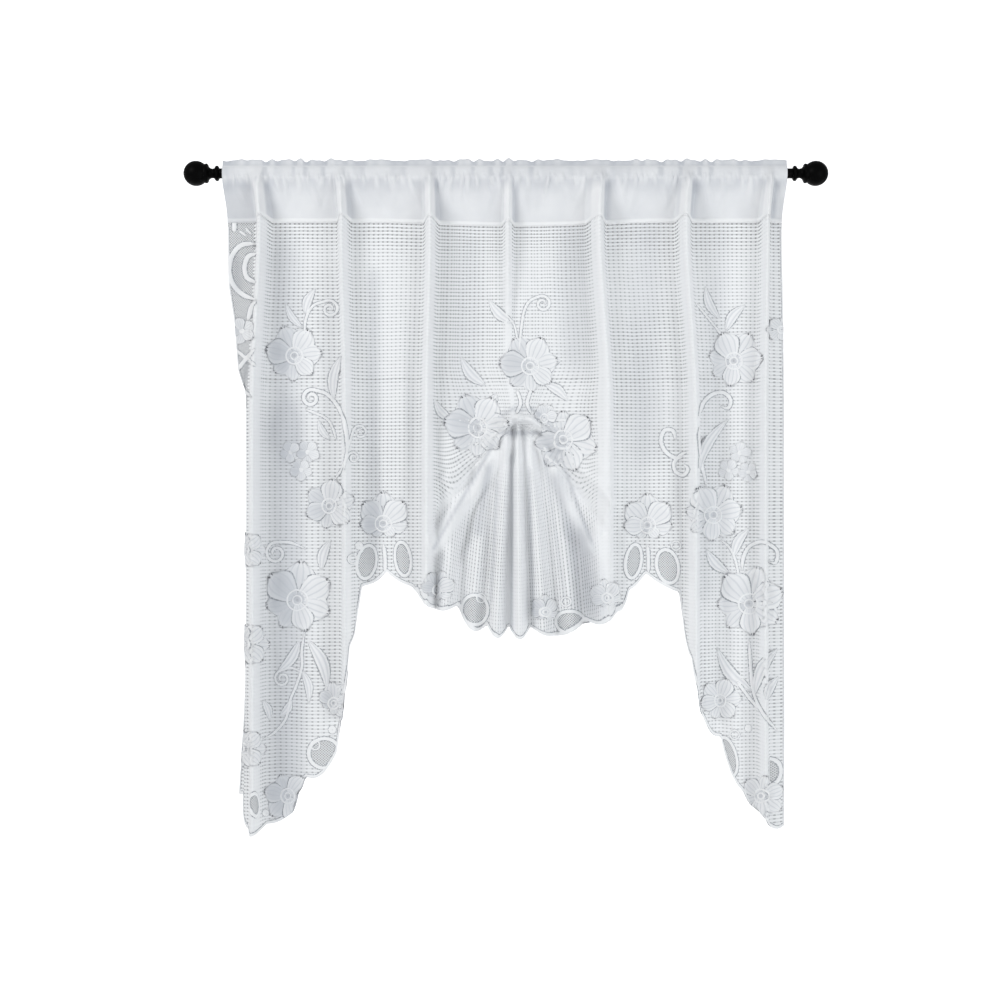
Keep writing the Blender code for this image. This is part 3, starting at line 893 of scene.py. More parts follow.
def turned_end(name, side):
    """One finial, spun from its half outline."""
    outline = []
    for step in range(BALL_STEPS + 1):
        angle = BALL_COLLAR_ANGLE * step / BALL_STEPS
        outline.append((BALL_CENTRE + BALL_RADIUS * math.cos(angle), BALL_RADIUS * math.sin(angle)))
    outline.extend((ring.along * MM, ring.radius * MM) for ring in COLLAR_RINGS)
    outline.append((COLLAR_RINGS[-1].along * MM, 0.0))
    mesh = bpy.data.meshes.new(name)
    points = [(side * along, 0.0, radius) for along, radius in outline]
    mesh.from_pydata(points, [(step, step + 1) for step in range(len(points) - 1)], [])
    item = bpy.data.objects.new(name, mesh)
    bpy.context.scene.collection.objects.link(item)
    bpy.ops.object.select_all(action="DESELECT")
    item.select_set(True)
    bpy.context.view_layer.objects.active = item
    bpy.ops.object.mode_set(mode="EDIT")
    bpy.ops.mesh.select_all(action="SELECT")
    bpy.ops.mesh.spin(steps=48, angle=2 * math.pi, center=(0.0, 0.0, 0.0), axis=(1.0, 0.0, 0.0))
    bpy.ops.mesh.select_all(action="SELECT")
    bpy.ops.mesh.remove_doubles(threshold=0.00002)
    bpy.ops.mesh.normals_make_consistent(inside=False)
    bpy.ops.object.mode_set(mode="OBJECT")
    bpy.ops.object.shade_smooth_by_angle(angle=math.radians(50))
    item.select_set(False)
    return item


left_end = turned_end("turned_end_left", -1.0)
right_end = turned_end("turned_end_right", 1.0)
print("turned ends of", len(left_end.data.polygons), "faces each")

# %% [markdown]
# A small kit for materials. A wire is a number that flows through a material. Plain sums and products
# of wires become Math nodes, so that a pattern of threads reads like the sum it is.


# %% A kit for materials
class Wire:
    """A number in a material, which Python's sums and products turn into Math nodes."""

    def __init__(self, paint, socket):
        self.paint = paint
        self.socket = socket

    def math(self, operation, *others):
        inputs = dict(enumerate((self, *others)))
        return self.paint.wire("ShaderNodeMath", {"operation": operation}, inputs)

    def __add__(self, other):
        return self.math("ADD", other)

    def __sub__(self, other):
        return self.math("SUBTRACT", other)

    def __mul__(self, other):
        return self.math("MULTIPLY", other)

    def __truediv__(self, other):
        return self.math("DIVIDE", other)

    def __rsub__(self, other):
        return self * -1.0 + other

    __radd__ = __add__
    __rmul__ = __mul__

    def fract(self):
        return self.math("FRACT")

    def abs(self):
        return self.math("ABSOLUTE")

    def sine(self):
        return self.math("SINE")

    def most(self, other):
        return self.math("MAXIMUM", other)

    def least(self, other):
        return self.math("MINIMUM", other)

    def step(self, low, high):
        """0 below low, 1 above high, and a soft step between."""
        inputs = {"Value": self, "From Min": low, "From Max": high}
        return self.paint.wire("ShaderNodeMapRange", {"interpolation_type": "SMOOTHSTEP"}, inputs)

    def ridge(self):
        """Turns a running number into rounded ridges, one for each whole step."""
        return 1.0 - ((self.fract() - 0.5) * 2.0).abs()


class Paint:
    """A material under construction."""

    def __init__(self, name):
        self.material = bpy.data.materials.new(name)
        self.material.use_nodes = True
        self.tree = self.material.node_tree
        self.tree.nodes.clear()

    def node(self, kind, settings, inputs):
        made = self.tree.nodes.new(kind)
        for name, value in settings.items():
            setattr(made, name, value)
        for name, value in inputs.items():
            if isinstance(value, Wire):
                self.tree.links.new(value.socket, made.inputs[name])
            else:
                made.inputs[name].default_value = value
        return made

    def wire(self, kind, settings, inputs, output=0):
        return Wire(self, self.node(kind, settings, inputs).outputs[output])

    def flat_cloth(self, name="cloth"):
        """Width and length on the flat cloth, in metres."""
        place = self.node("ShaderNodeUVMap", {"uv_map": name}, {})
        split = self.node("ShaderNodeSeparateXYZ", {}, {"Vector": Wire(self, place.outputs[0])})
        return Wire(self, split.outputs[0]), Wire(self, split.outputs[1])

    def place(self):
        return self.wire("ShaderNodeTexCoord", {}, {}, "Object")

    def place_along(self, axis):
        """One object coordinate, in metres."""
        return self.wire("ShaderNodeSeparateXYZ", {}, {"Vector": self.place()}, axis)

    def cloud(self, scale, detail=2.0, place=None):
        """Soft noise about 0.5. Scale is in spots for each metre."""
        inputs = {"Vector": place or self.place(), "Scale": scale, "Detail": detail, "Roughness": 0.5}
        return self.wire("ShaderNodeTexNoise", {}, inputs)

    def stored(self, name):
        return self.wire("ShaderNodeAttribute", {"attribute_name": name}, {}, "Fac")

    def blend(self, factor, first, second):
        """A colour between two colours."""
        inputs = {0: factor, 6: first, 7: second}
        return self.wire("ShaderNodeMix", {"data_type": "RGBA"}, inputs, 2)

    def bump(self, height, strength, distance):
        inputs = {"Height": height, "Strength": strength, "Distance": distance}
        return self.wire("ShaderNodeBump", {}, inputs)

    def finish(self, **inputs):
        named = {name.replace("_", " "): value for name, value in inputs.items()}
        shader = self.wire("ShaderNodeBsdfPrincipled", {}, named)
        self.node("ShaderNodeOutputMaterial", {}, {"Surface": shader})
        return self.material


def tint(red, green, blue):
    return (red, green, blue, 1.0)


def wear(item, material):
    """Give a piece one material."""
    item.data.materials.clear()
    item.data.materials.append(material)


# %% [markdown]
# The net is knitted in rows. Thick threads run across and thin ones down, and what they leave open is
# a small oblong hole. Inside the loops a finer net lies on the slant. The holes are only half clear,
# and their colour is a painted dark-grey shadow, darkest under the seam.

# %% Net, cotton, thread and metal
ROW_PITCH = 4.9 * MM
COLUMN_PITCH = 6.7 * MM
FAN_PITCH = 4.4 * MM
FINE_PITCH = 3.4 * MM
OPEN_ROW_DROP = 0.281
THREAD = tint(0.93, 0.938, 0.948)
# Painted shadow: the colour seen in the net's holes.
SHADOW = tint(0.17, 0.185, 0.20)
# Painted shade: the grey that threads take in hollows.
PAINTED_SHADE = tint(0.66, 0.675, 0.705)


def net_material():
    paint = Paint("lace net")
    width, length = paint.flat_cloth()
    wander = (paint.cloud(42.0, 3.0) - 0.5) * 1.2 * MM
    fan_width, fan_length = paint.flat_cloth("fan")
    in_fan = paint.stored("in_fan").step(-0.0004, 0.0004)
    rows = ((length + wander) / ROW_PITCH).ridge() * (1.0 - in_fan)
    rows = rows + ((fan_length + wander) / FAN_PITCH).ridge() * in_fan
    columns = ((width + wander) / COLUMN_PITCH).ridge() * (1.0 - in_fan)
    columns = columns + ((fan_width + wander) / ROW_PITCH).ridge() * in_fan
    calm = paint.stored("calm")
    # Painted shadow: the holes grow darker towards the seam, under the heading.
    hole_shadow_under_band = (length * -1.0).step(0.120, 0.066)
    open_row = (length + OPEN_ROW_DROP).abs().step(0.0042, 0.0018)
    contrast = (0.40 + paint.cloud(8.0, 1.0).step(0.36, 0.66) * 0.30 + hole_shadow_under_band * 0.6).least(1.0)
    contrast = contrast * (1.0 - in_fan * 0.25)
    # Calm clears the holes to plain thread, partly a painted highlight.
    contrast = contrast.most(open_row) * (1.0 - calm)
    gap = rows.step(0.48, 0.18)
    spot = columns.step(0.50, 0.88)
    speck = rows.step(0.52, 0.34) * spot
    coarse = (gap * 0.38 + speck * 0.72) * contrast
    diagonal = ((width + length) / FINE_PITCH).ridge().step(0.62, 0.36)
    counter = ((width - length) / FINE_PITCH).ridge().step(0.62, 0.36)
    fine = (1.0 - diagonal).least(1.0 - counter) * 0.62 + 0.20
    inside_loop = paint.stored("loop").step(0.0003, -0.0003)
    dark = coarse * (1.0 - inside_loop) + fine * inside_loop
    strands = (paint.cloud(900.0, 2.0) - 0.5) * 0.12
    height = rows.step(0.1, 0.9) + columns.step(0.9, 0.2) * 0.35 + strands
    relief = paint.bump(height, 0.40, 0.5 * MM)
    clear = 1.0 - dark * 0.42
    # Painted shade: the threads turn grey where the shade table darkens the cloth.
    shaded = paint.blend(paint.stored("shade") * (0.85 + paint.cloud(30.0, 2.0) * 0.3), THREAD, PAINTED_SHADE)
    # The holes take the painted shadow colour and stay partly clear.
    return paint.finish(Base_Color=paint.blend(dark, shaded, SHADOW), Roughness=0.86, Alpha=clear, Normal=relief)


def cotton_material():
    paint = Paint("white cotton")
    width, length = paint.flat_cloth()
    weft = (length / (0.55 * MM)).ridge()
    warp = (width / (0.55 * MM)).ridge()
    cloudy = paint.cloud(24.0, 3.0)
    # Painted light and shade: the heading's grey comes from its stored tone, with a random cloud over it.
    tone_and_painted_shade = (paint.stored("tone_and_painted_shade") + (cloudy - 0.5) * 0.5).most(0.0).least(1.0)
    colour = paint.blend(tone_and_painted_shade, tint(0.93, 0.935, 0.942), tint(0.56, 0.58, 0.62))
    height = weft * 0.5 + warp * 0.5 + paint.cloud(140.0, 3.0) * 3.0
    return paint.finish(Base_Color=colour, Roughness=0.82, Normal=paint.bump(height, 0.25, 0.25 * MM))


def thread_material():
    paint = Paint("dense lace thread")
    rim = paint.stored("rim")
    rib = paint.stored("rib")
    ribs = (rib * 1.0).ridge()
    mottle = paint.cloud(420.0, 2.0)
    # The motifs' grey comes from their stored tone, which holds painted shade.
    body = paint.blend(paint.stored("tone_and_painted_shade"), tint(0.94, 0.945, 0.952), tint(0.60, 0.62, 0.655))
    body = paint.blend(ribs.step(0.55, 0.95) * 0.42, body, tint(0.52, 0.55, 0.59))
    dots = paint.cloud(620.0, 1.0).step(0.38, 0.60)
    outline = rim.step(0.40, 0.64) * (0.35 + 0.65 * dots)
    colour = paint.blend(outline, body, tint(0.30, 0.32, 0.35))
    height = ribs * 0.5 + mottle * 0.7
    return paint.finish(Base_Color=colour, Roughness=0.80, Normal=paint.bump(height, 0.35, 0.35 * MM))


def metal_material():
    paint = Paint("black satin metal")
    speck = paint.cloud(1400.0, 2.0)
    smear = paint.cloud(30.0, 2.0)
    colour = paint.blend(speck, tint(0.001, 0.001, 0.001), tint(0.003, 0.003, 0.003))
    relief = paint.bump(speck, 0.10, 0.04 * MM)
    return paint.finish(
        Base_Color=colour, Roughness=0.34 + 0.10 * smear, Specular_IOR_Level=0.03, Normal=relief
    )


net = net_material()
cotton = cotton_material()
dense_thread = thread_material()
black_metal = metal_material()
wear(heading, cotton)
for part in (rod, left_end, right_end):
    wear(part, black_metal)
wear(lace, net)
print("materials:", [m.name for m in (net, cotton, dense_thread, black_metal)])

# %% [markdown]
# Flowers, leaves and scrolls are knitted densely into the net. They are drawn flat and then hung with
# the cloth. Their places are easiest to judge from the front, so the tables name a place as seen
# there, in millimetres from the middle of the rod, and the next cell finds that spot on the flat cloth.

# %% Find a place on the flat cloth
VIEW_DISTANCE = 2.4
VIEW_X = -7.3 * MM
VIEW_Z = -444.5 * MM
SEEK_COLUMNS = 620
SEEK_ROWS = 430
SEEK_STEPS = 3
SEEK_REACH = 2.0 * MM
SEEK_CHOICE = 1.6 * MM


def seen(points):
    """Where points appear from the front, on the plane of the rod."""
    nearer = VIEW_DISTANCE / (VIEW_DISTANCE + points[..., 1])
    return np.stack([VIEW_X + (points[..., 0] - VIEW_X) * nearer, VIEW_Z + (points[..., 2] - VIEW_Z) * nearer], axis=-1)


seek_across = even_columns(SEEK_COLUMNS)
seek_top = seam_drop(seek_across)
seek_drop = seek_top[:, None] + (unlifted_hem(seek_across) - seek_top)[:, None] * np.linspace(0, 1, SEEK_ROWS)
seek_width = np.repeat(cloth_width_at(seek_across)[:, None], SEEK_ROWS, axis=1)
seek_flat = np.stack([seek_width.ravel(), seek_drop.ravel()], axis=-1)
seek_points = hanging(seek_width, seek_drop).reshape(-1, 3)
seek_seen = seen(seek_points)


seek_tree = KDTree(len(seek_seen))
for number, (x, z) in enumerate(seek_seen.tolist()):
    seek_tree.insert((x, 0.0, z), number)
seek_tree.balance()


def cloth_under(x, z):
    """The flat places of spots seen from the front at x and z, given as arrays of one shape."""
    targets = np.stack([np.ravel(x), np.ravel(z)], axis=-1)
    starts = []
    for spot in targets.tolist():
        near = seek_tree.find_n((spot[0], 0.0, spot[1]), 14)
        reach = near[0][2] + SEEK_CHOICE
        starts.append(min((seek_points[number, 1], number) for _, number, gap in near if gap <= reach)[1])
    flat = seek_flat[starts].copy()
    probe = 0.4 * MM
    for _ in range(SEEK_STEPS):
        here = seen(hanging(flat[:, 0], flat[:, 1]))
        by_width = (seen(hanging(flat[:, 0] + probe, flat[:, 1])) - here) / probe
        by_drop = (seen(hanging(flat[:, 0], flat[:, 1] + probe)) - here) / probe
        size = by_width[:, 0] * by_drop[:, 1] - by_width[:, 1] * by_drop[:, 0]
        safe = np.where(np.abs(size) < 0.06, np.inf, size)
        miss = targets - here
        move_width = (miss[:, 0] * by_drop[:, 1] - miss[:, 1] * by_drop[:, 0]) / safe
        move_drop = (by_width[:, 0] * miss[:, 1] - by_width[:, 1] * miss[:, 0]) / safe
        move = np.stack([move_width, move_drop], axis=-1)
        reach = np.maximum(np.linalg.norm(move, axis=1, keepdims=True), 1e-9)
        flat = flat + move * np.minimum(1.0, SEEK_REACH / reach)
    return flat[:, 0].reshape(np.shape(x)), flat[:, 1].reshape(np.shape(x))


def on_cloth(x, z):
    """The flat place of one spot seen from the front."""
    width, drop = cloth_under(np.array([x]), np.array([z]))
    return np.array([width[0], drop[0]])


# %% [markdown]
# Every motif is built from plates: a grid of flat points, each with its height above the net. A plate
# is closed and reaches through the net, so it also shows on the back, as knitted flowers do. Three
# numbers travel with each point: rim is 1 on the outline, rib counts the fine ribs of a petal, and
# tone holds its grey, which includes painted shade.


# %% Plates that hang with the cloth
PLATE_UNDER = 0.62 * MM
RIM_HEIGHT = 0.42 * MM
SHADE_ON_MOTIFS = 0.55


class Plates:
    """Collects plates and hangs them all as one mesh."""

    def __init__(self):
        self.flats = []
        self.heights = []
        self.rims = []
        self.ribs = []
        self.tones_and_painted_shade = []
        self.faces = []
        self.count = 0
        self.from_front = False

    def start(self, x, z, from_front=True):
        """Begin a motif at a spot. Drawn from the front, its shape is laid over whatever folds lie there."""
        self.from_front = from_front
        return np.array([x, -z]) if from_front else on_cloth(x, z)

    def add(self, width, drop, height, rim, rib, tone_and_painted_shade=0.0, closed=False):
        """One plate. With closed, the last row along the first direction meets the first."""
        along, aside = width.shape
        run_x = np.diff(width, axis=0)[:, :-1]
        run_drop = np.diff(drop, axis=0)[:, :-1]
        turn = run_x * np.diff(drop, axis=1)[:-1] - run_drop * np.diff(width, axis=1)[:-1]
        front_first = float(turn.sum()) > 0
        if self.from_front:
            width, drop = cloth_under(width, -drop)
        index = np.arange(along * aside).reshape(along, aside) + self.count
        under = index + along * aside
        quads = []
        last = along if closed else along - 1
        for i in range(last):
            j = (i + 1) % along
            for k in range(aside - 1):
                quads.append((index[i, k], index[i, k + 1], index[j, k + 1], index[j, k]))
                quads.append((under[i, k], under[j, k], under[j, k + 1], under[i, k + 1]))
            quads.append((index[i, 0], index[j, 0], under[j, 0], under[i, 0]))
            quads.append((index[i, -1], under[i, -1], under[j, -1], index[j, -1]))
        if not closed:
            for k in range(aside - 1):
                quads.append((index[0, k], under[0, k], under[0, k + 1], index[0, k + 1]))
                quads.append((index[-1, k], index[-1, k + 1], under[-1, k + 1], under[-1, k]))
        for quad in quads:
            self.faces.append(tuple(int(q) for q in (quad if front_first else quad[::-1])))
        flat = np.stack([width.ravel(), drop.ravel()], axis=-1)
        self.flats.extend((flat, flat))
        self.heights.extend((height.ravel(), np.full(width.size, -PLATE_UNDER)))
        for _ in range(2):
            self.rims.append(rim.ravel())
            self.ribs.append(rib.ravel())
            self.tones_and_painted_shade.append((tone_and_painted_shade + 0.0 * width).ravel())
        self.count += 2 * width.size

    def hang(self, name):
        """The finished object, hung with the cloth."""
        flat = np.concatenate(self.flats)
        flat[:, 0] = np.clip(flat[:, 0], 0.3 * MM, FLAT_WIDTH - 0.3 * MM)
        last = unlifted_hem(np.interp(flat[:, 0], cloth_run, fine_across))
        flat[:, 1] = np.minimum(flat[:, 1], last + 1.2 * MM)
        height = np.concatenate(self.heights)
        points = hanging(flat[:, 0], flat[:, 1]) + facing(flat[:, 0], flat[:, 1]) * height[:, None]
        item = mesh_object(name, points, self.faces)
        store(item, "rim", np.concatenate(self.rims))
        store(item, "rib", np.concatenate(self.ribs))
        # Painted shade: motifs in the shade table's hollows turn grey with the cloth.
        store(item, "tone_and_painted_shade", np.minimum(np.concatenate(self.tones_and_painted_shade) + SHADE_ON_MOTIFS * shade_at(points), 1.0))
        return item


RIM_STEPS = np.array([-1.0, -0.86, -0.62, -0.36, -0.12, 0.12, 0.36, 0.62, 0.86, 1.0])


def petal(plates, flat, size, turn, spread, layer, left_petal_shade, ruffles=3.0, ribs=5.0):
    """A rounded petal that starts at a flat place. Turn 0 points up, and spread is half its angle."""
    side = RIM_STEPS[None, :]
    out = np.array([0.07, 0.20, 0.34, 0.48, 0.62, 0.74, 0.84, 0.91, 0.96, 0.99])[:, None]
    past = np.clip((out - 0.62) / 0.38, 0.0, 0.998)
    belly = np.where(out < 0.62, np.sin(0.5 * math.pi * out / 0.62) ** 0.85, np.sqrt(1.0 - past**2))
    wide = size * 0.60 * math.tan(math.radians(spread)) * belly * (1.0 + 0.05 * np.cos(9.0 * out))
    lobes = 1.0 + 0.05 * np.cos(ruffles * math.pi * side) * out**3
    aside = side * wide
    ahead = size * out * lobes * (1.0 - 0.05 * side**2)
    lean = math.radians(turn)
    width = flat[0] + aside * math.cos(lean) + ahead * math.sin(lean)
    drop = flat[1] + aside * math.sin(lean) - ahead * math.cos(lean)
    dome = (1.0 - side**4) * (0.35 + 0.65 * np.sin(math.pi * np.clip(out, 0.0, 0.95)) ** 0.6)
    height = RIM_HEIGHT + layer + PETAL_LIFT * dome * (1.0 + 0.2 * np.cos(ribs * math.pi * side))
    rim = np.maximum(np.abs(side) ** 8 + 0.0 * out, 0.9 * (out >= 0.99) + 0.0 * side)
    # Painted shade on petals that point left; every petal is also greyer towards the flower's middle and white at its
    # edges.
    painted_shade_on_left_petal = left_petal_shade * max(0.0, 0.35 - math.sin(lean)) / 1.35
    edge = np.maximum(smooth((np.abs(side) - 0.45) / 0.3) + 0.0 * out, smooth((out - 0.78) / 0.14) + 0.0 * side)
    tone_and_painted_shade = 0.75 * painted_shade_on_left_petal + (0.06 + 0.22 * (1.0 - out) + 0.25 * painted_shade_on_left_petal) * (1.0 - edge)
    plates.add(width, drop, height, rim, side * ribs * 0.5 + 0.0 * out, tone_and_painted_shade)


def cord(plates, points, half_width, lift, closed=False, taper=True):
    """A flat-sided cord along flat points."""
    points = np.asarray(points)
    if closed:
        ahead = np.roll(points, -1, axis=0) - np.roll(points, 1, axis=0)
    else:
        ahead = np.gradient(points, axis=0)
    ahead = ahead / np.maximum(np.linalg.norm(ahead, axis=1, keepdims=True), 1e-9)
    side = np.array([-1.0, -0.72, -0.5, 0.0, 0.5, 0.72, 1.0])[None, :]
    part = np.linspace(0.0, 1.0, len(points))[:, None]
    wide = half_width * (np.ones_like(part) if closed or not taper else np.clip(6.0 * np.minimum(part + 0.05, 1.05 - part), 0.35, 1.0))
    width = points[:, :1] + ahead[:, 1:] * side * wide
    drop = points[:, 1:] - ahead[:, :1] * side * wide
    height = RIM_HEIGHT + lift * np.sqrt(np.maximum(1.0 - (side / 0.76) ** 2, 0.0)) + 0.0 * part
    rim = np.clip((np.abs(side) - 0.5) / 0.3, 0.0, 1.0) + 0.0 * part
    plates.add(width, drop, height, rim, 0.0 * width, closed=closed)


def leaf(plates, base, tip, half_width, lift):
    """A leaf with a sunken middle rib."""
    base = np.asarray(base)
    tip = np.asarray(tip)
    run = tip - base
    length = max(np.linalg.norm(run), 1e-9)
    ahead = run / length
    across = np.array([ahead[1], -ahead[0]])
    part = np.array([0.02, 0.1, 0.24, 0.4, 0.56, 0.72, 0.86, 0.95, 1.0])[:, None]
    side = RIM_STEPS[None, :]
    wide = half_width * np.sin(math.pi * np.clip(part, 0.04, 0.97) ** 0.9) ** 0.8
    bow = 0.10 * length * np.sin(math.pi * part)
    width = base[0] + run[0] * part + across[0] * (side * wide + bow)
    drop = base[1] + run[1] * part + across[1] * (side * wide + bow)
    height = RIM_HEIGHT + lift * (1.0 - side**4) * (1.0 - 0.75 * np.exp(-((side / 0.16) ** 2))) + 0.0 * part
    rim = np.clip((np.abs(side) - 0.70) / 0.22, 0.0, 1.0) + 0.0 * part
    inner = 0.62 * ((np.abs(side) > 0.13) & (np.abs(side) < 0.5)) + 0.0 * part
    plates.add(width, drop, height, rim, 0.0 * width, inner)


def disc(plates, flat, radius, lift, tone_and_painted_shade=0.0):
    """A small round boss."""
    turn = np.linspace(0.0, 2.0 * math.pi, 20, endpoint=False)[:, None]
    out = np.array([0.05, 0.4, 0.72, 1.0])[None, :]
    width = flat[0] + radius * out * np.sin(turn)
    drop = flat[1] - radius * out * np.cos(turn)
    height = RIM_HEIGHT + lift * np.sqrt(1.0 - (out * 0.95) ** 2) + 0.0 * turn
    plates.add(width, drop, height, (out >= 1.0) * 0.8 + 0.0 * turn, 0.0 * width, tone_and_painted_shade, closed=True)


def ring(plates, flat, radius, half_width, lift):
    """A round cord."""
    turn = np.linspace(0.0, 2.0 * math.pi, 24, endpoint=False)
    points = np.stack([flat[0] + radius * np.sin(turn), flat[1] - radius * np.cos(turn)], axis=-1)
    cord(plates, points, half_width, lift, closed=True)


def smooth_line(points, step):
    """A soft curve through points, with a point about every step."""
    points = np.asarray(points, dtype=float)
    padded = np.concatenate((2 * points[:1] - points[1:2], points, 2 * points[-1:] - points[-2:-1]))
    line = []
    for k in range(1, len(padded) - 2):
        before, start, end, after = padded[k - 1 : k + 3]
        pieces = max(2, int(np.linalg.norm(end - start) / step))
        for piece in range(pieces):
            t = piece / pieces
            line.append(
                0.5 * (2 * start + (end - before) * t + (2 * before - 5 * start + 4 * end - after) * t**2
                       + (3 * start - before - 3 * end + after) * t**3)
            )
    line.append(points[-1])
    return np.array(line)


def with_curl(points, radius, side, step):
    """The same line with a spiral at its end, turning to one side."""
    if radius <= 0:
        return points
    ahead = points[-1] - points[-2]
    ahead = ahead / np.linalg.norm(ahead)
    inward = np.array([-ahead[1], ahead[0]]) * side
    centre = points[-1] + inward * radius
    pieces = int(2.2 * 2 * math.pi * radius / step / 1.6)
    curl = []
    for piece in range(1, pieces + 1):
        part = piece / pieces
        angle = 2.2 * math.pi * part * 1.25
        reach = radius * (1.0 - 0.72 * part)
        curl.append(centre - inward * reach * math.cos(angle) + ahead * reach * math.sin(angle))
    return np.concatenate((points, np.array(curl)))


# %% [markdown]
# Where the motifs grow. On each side a spray climbs the tail from the hem to the top, another stands
# in the middle above the knot, and oval loops filled with fine net line the hem. Sizes and places in
# the tables are in millimetres as seen from the front, and turns are in degrees from upright.

# %% Tables of motifs
Bloom = namedtuple("Bloom", "name x z size turn kind")
BLOOMS = (
    Bloom("strip bloom", -358, -214, 17, -90, "small"),
    Bloom("left top bloom", -287, -248, 37, -28, "wide"),
    Bloom("left bud", -292, -379, 14, -30, "small"),
    Bloom("left bud two", -269, -379, 15, 40, "small"),
    Bloom("left bud three", -278, -403, 14, 180, "small"),
    Bloom("left middle bloom", -240, -452, 33, 10, "round"),
    Bloom("left great bloom", -283, -580, 46, 0, "wide"),
    Bloom("left edge bloom", -356, -512, 25, 90, "half"),
    Bloom("left edge bloom two", -357, -640, 30, 90, "half"),
    Bloom("left edge bloom three", -358, -782, 27, 90, "half"),
    Bloom("left hem bloom", -234, -720, 26, 40, "half"),
    Bloom("left corner bloom", -296, -846, 33, 160, "round"),
    Bloom("centre bloom", 33, -262, 38, -35, "wide"),
    Bloom("knot bloom left", -38, -346, 42, -30, "wide"),
    Bloom("knot bloom right", 78, -362, 41, 100, "wide"),
    Bloom("knot petals", 52, -333, 17, 30, "half"),
    Bloom("left arch bloom", -166, -476, 36, 0, "half"),
    Bloom("right arch bloom", 193, -478, 36, 0, "half"),
    Bloom("fan bloom left", -94, -566, 23, 20, "half"),
    Bloom("fan bloom middle", 53, -596, 20, 0, "half"),
    Bloom("fan bloom right", 137, -577, 22, -10, "half"),
    Bloom("right top bloom", 310, -255, 37, 25, "wide"),
    Bloom("right bud", 303, -403, 14, -40, "small"),
    Bloom("right bud two", 318, -380, 14, 10, "small"),
    Bloom("right bud three", 329, -406, 13, 40, "small"),
    Bloom("right middle bloom", 281, -464, 38, 20, "wide"),
    Bloom("right great bloom", 330, -585, 45, 10, "wide"),
    Bloom("right hem bloom", 291, -716, 28, 20, "round"),
    Bloom("right edge bloom", 374, -212, 17, -90, "half"),
    Bloom("right corner bloom", 348, -846, 30, 190, "round"),
)

Leaf = namedtuple("Leaf", "x0 z0 x1 z1 half_width")
LEAVES = (
    Leaf(-273, -191, -259, -157, 7.3),
    Leaf(-276, -210, -299, -176, 5.8),
    Leaf(-234, -308, -224, -248, 8.2),
    Leaf(-251, -539, -238, -498, 8.2),
    Leaf(-280, -635, -311, -678, 8.2),
    Leaf(-268, -635, -243, -702, 9.8),
    Leaf(-276, -676, -268, -720, 6.5),
    Leaf(10, -203, -23, -172, 8.2),
    Leaf(53, -286, 84, -309, 8.2),
    Leaf(-28, -288, -61, -250, 9.0),
    Leaf(-73, -336, -98, -307, 7.3),
    Leaf(290, -197, 271, -154, 7.3),
    Leaf(299, -214, 325, -179, 8.2),
    Leaf(303, -543, 272, -511, 8.5),
    Leaf(309, -521, 331, -482, 8.0),
    Leaf(335, -704, 287, -645, 10.0),
    Leaf(338, -708, 369, -646, 9.5),
    Leaf(354, -716, 370, -684, 7.5),
    Leaf(262, -403, 303, -334, 8.0),
    Leaf(-239, -362, -255, -335, 5.8),
    Leaf(-291, -716, -307, -737, 6.5),
    Leaf(-331, -716, -321, -743, 6.5),
    Leaf(53, -270, 74, -254, 6.5),
    Leaf(-12, -300, -24, -313, 6.5),
)

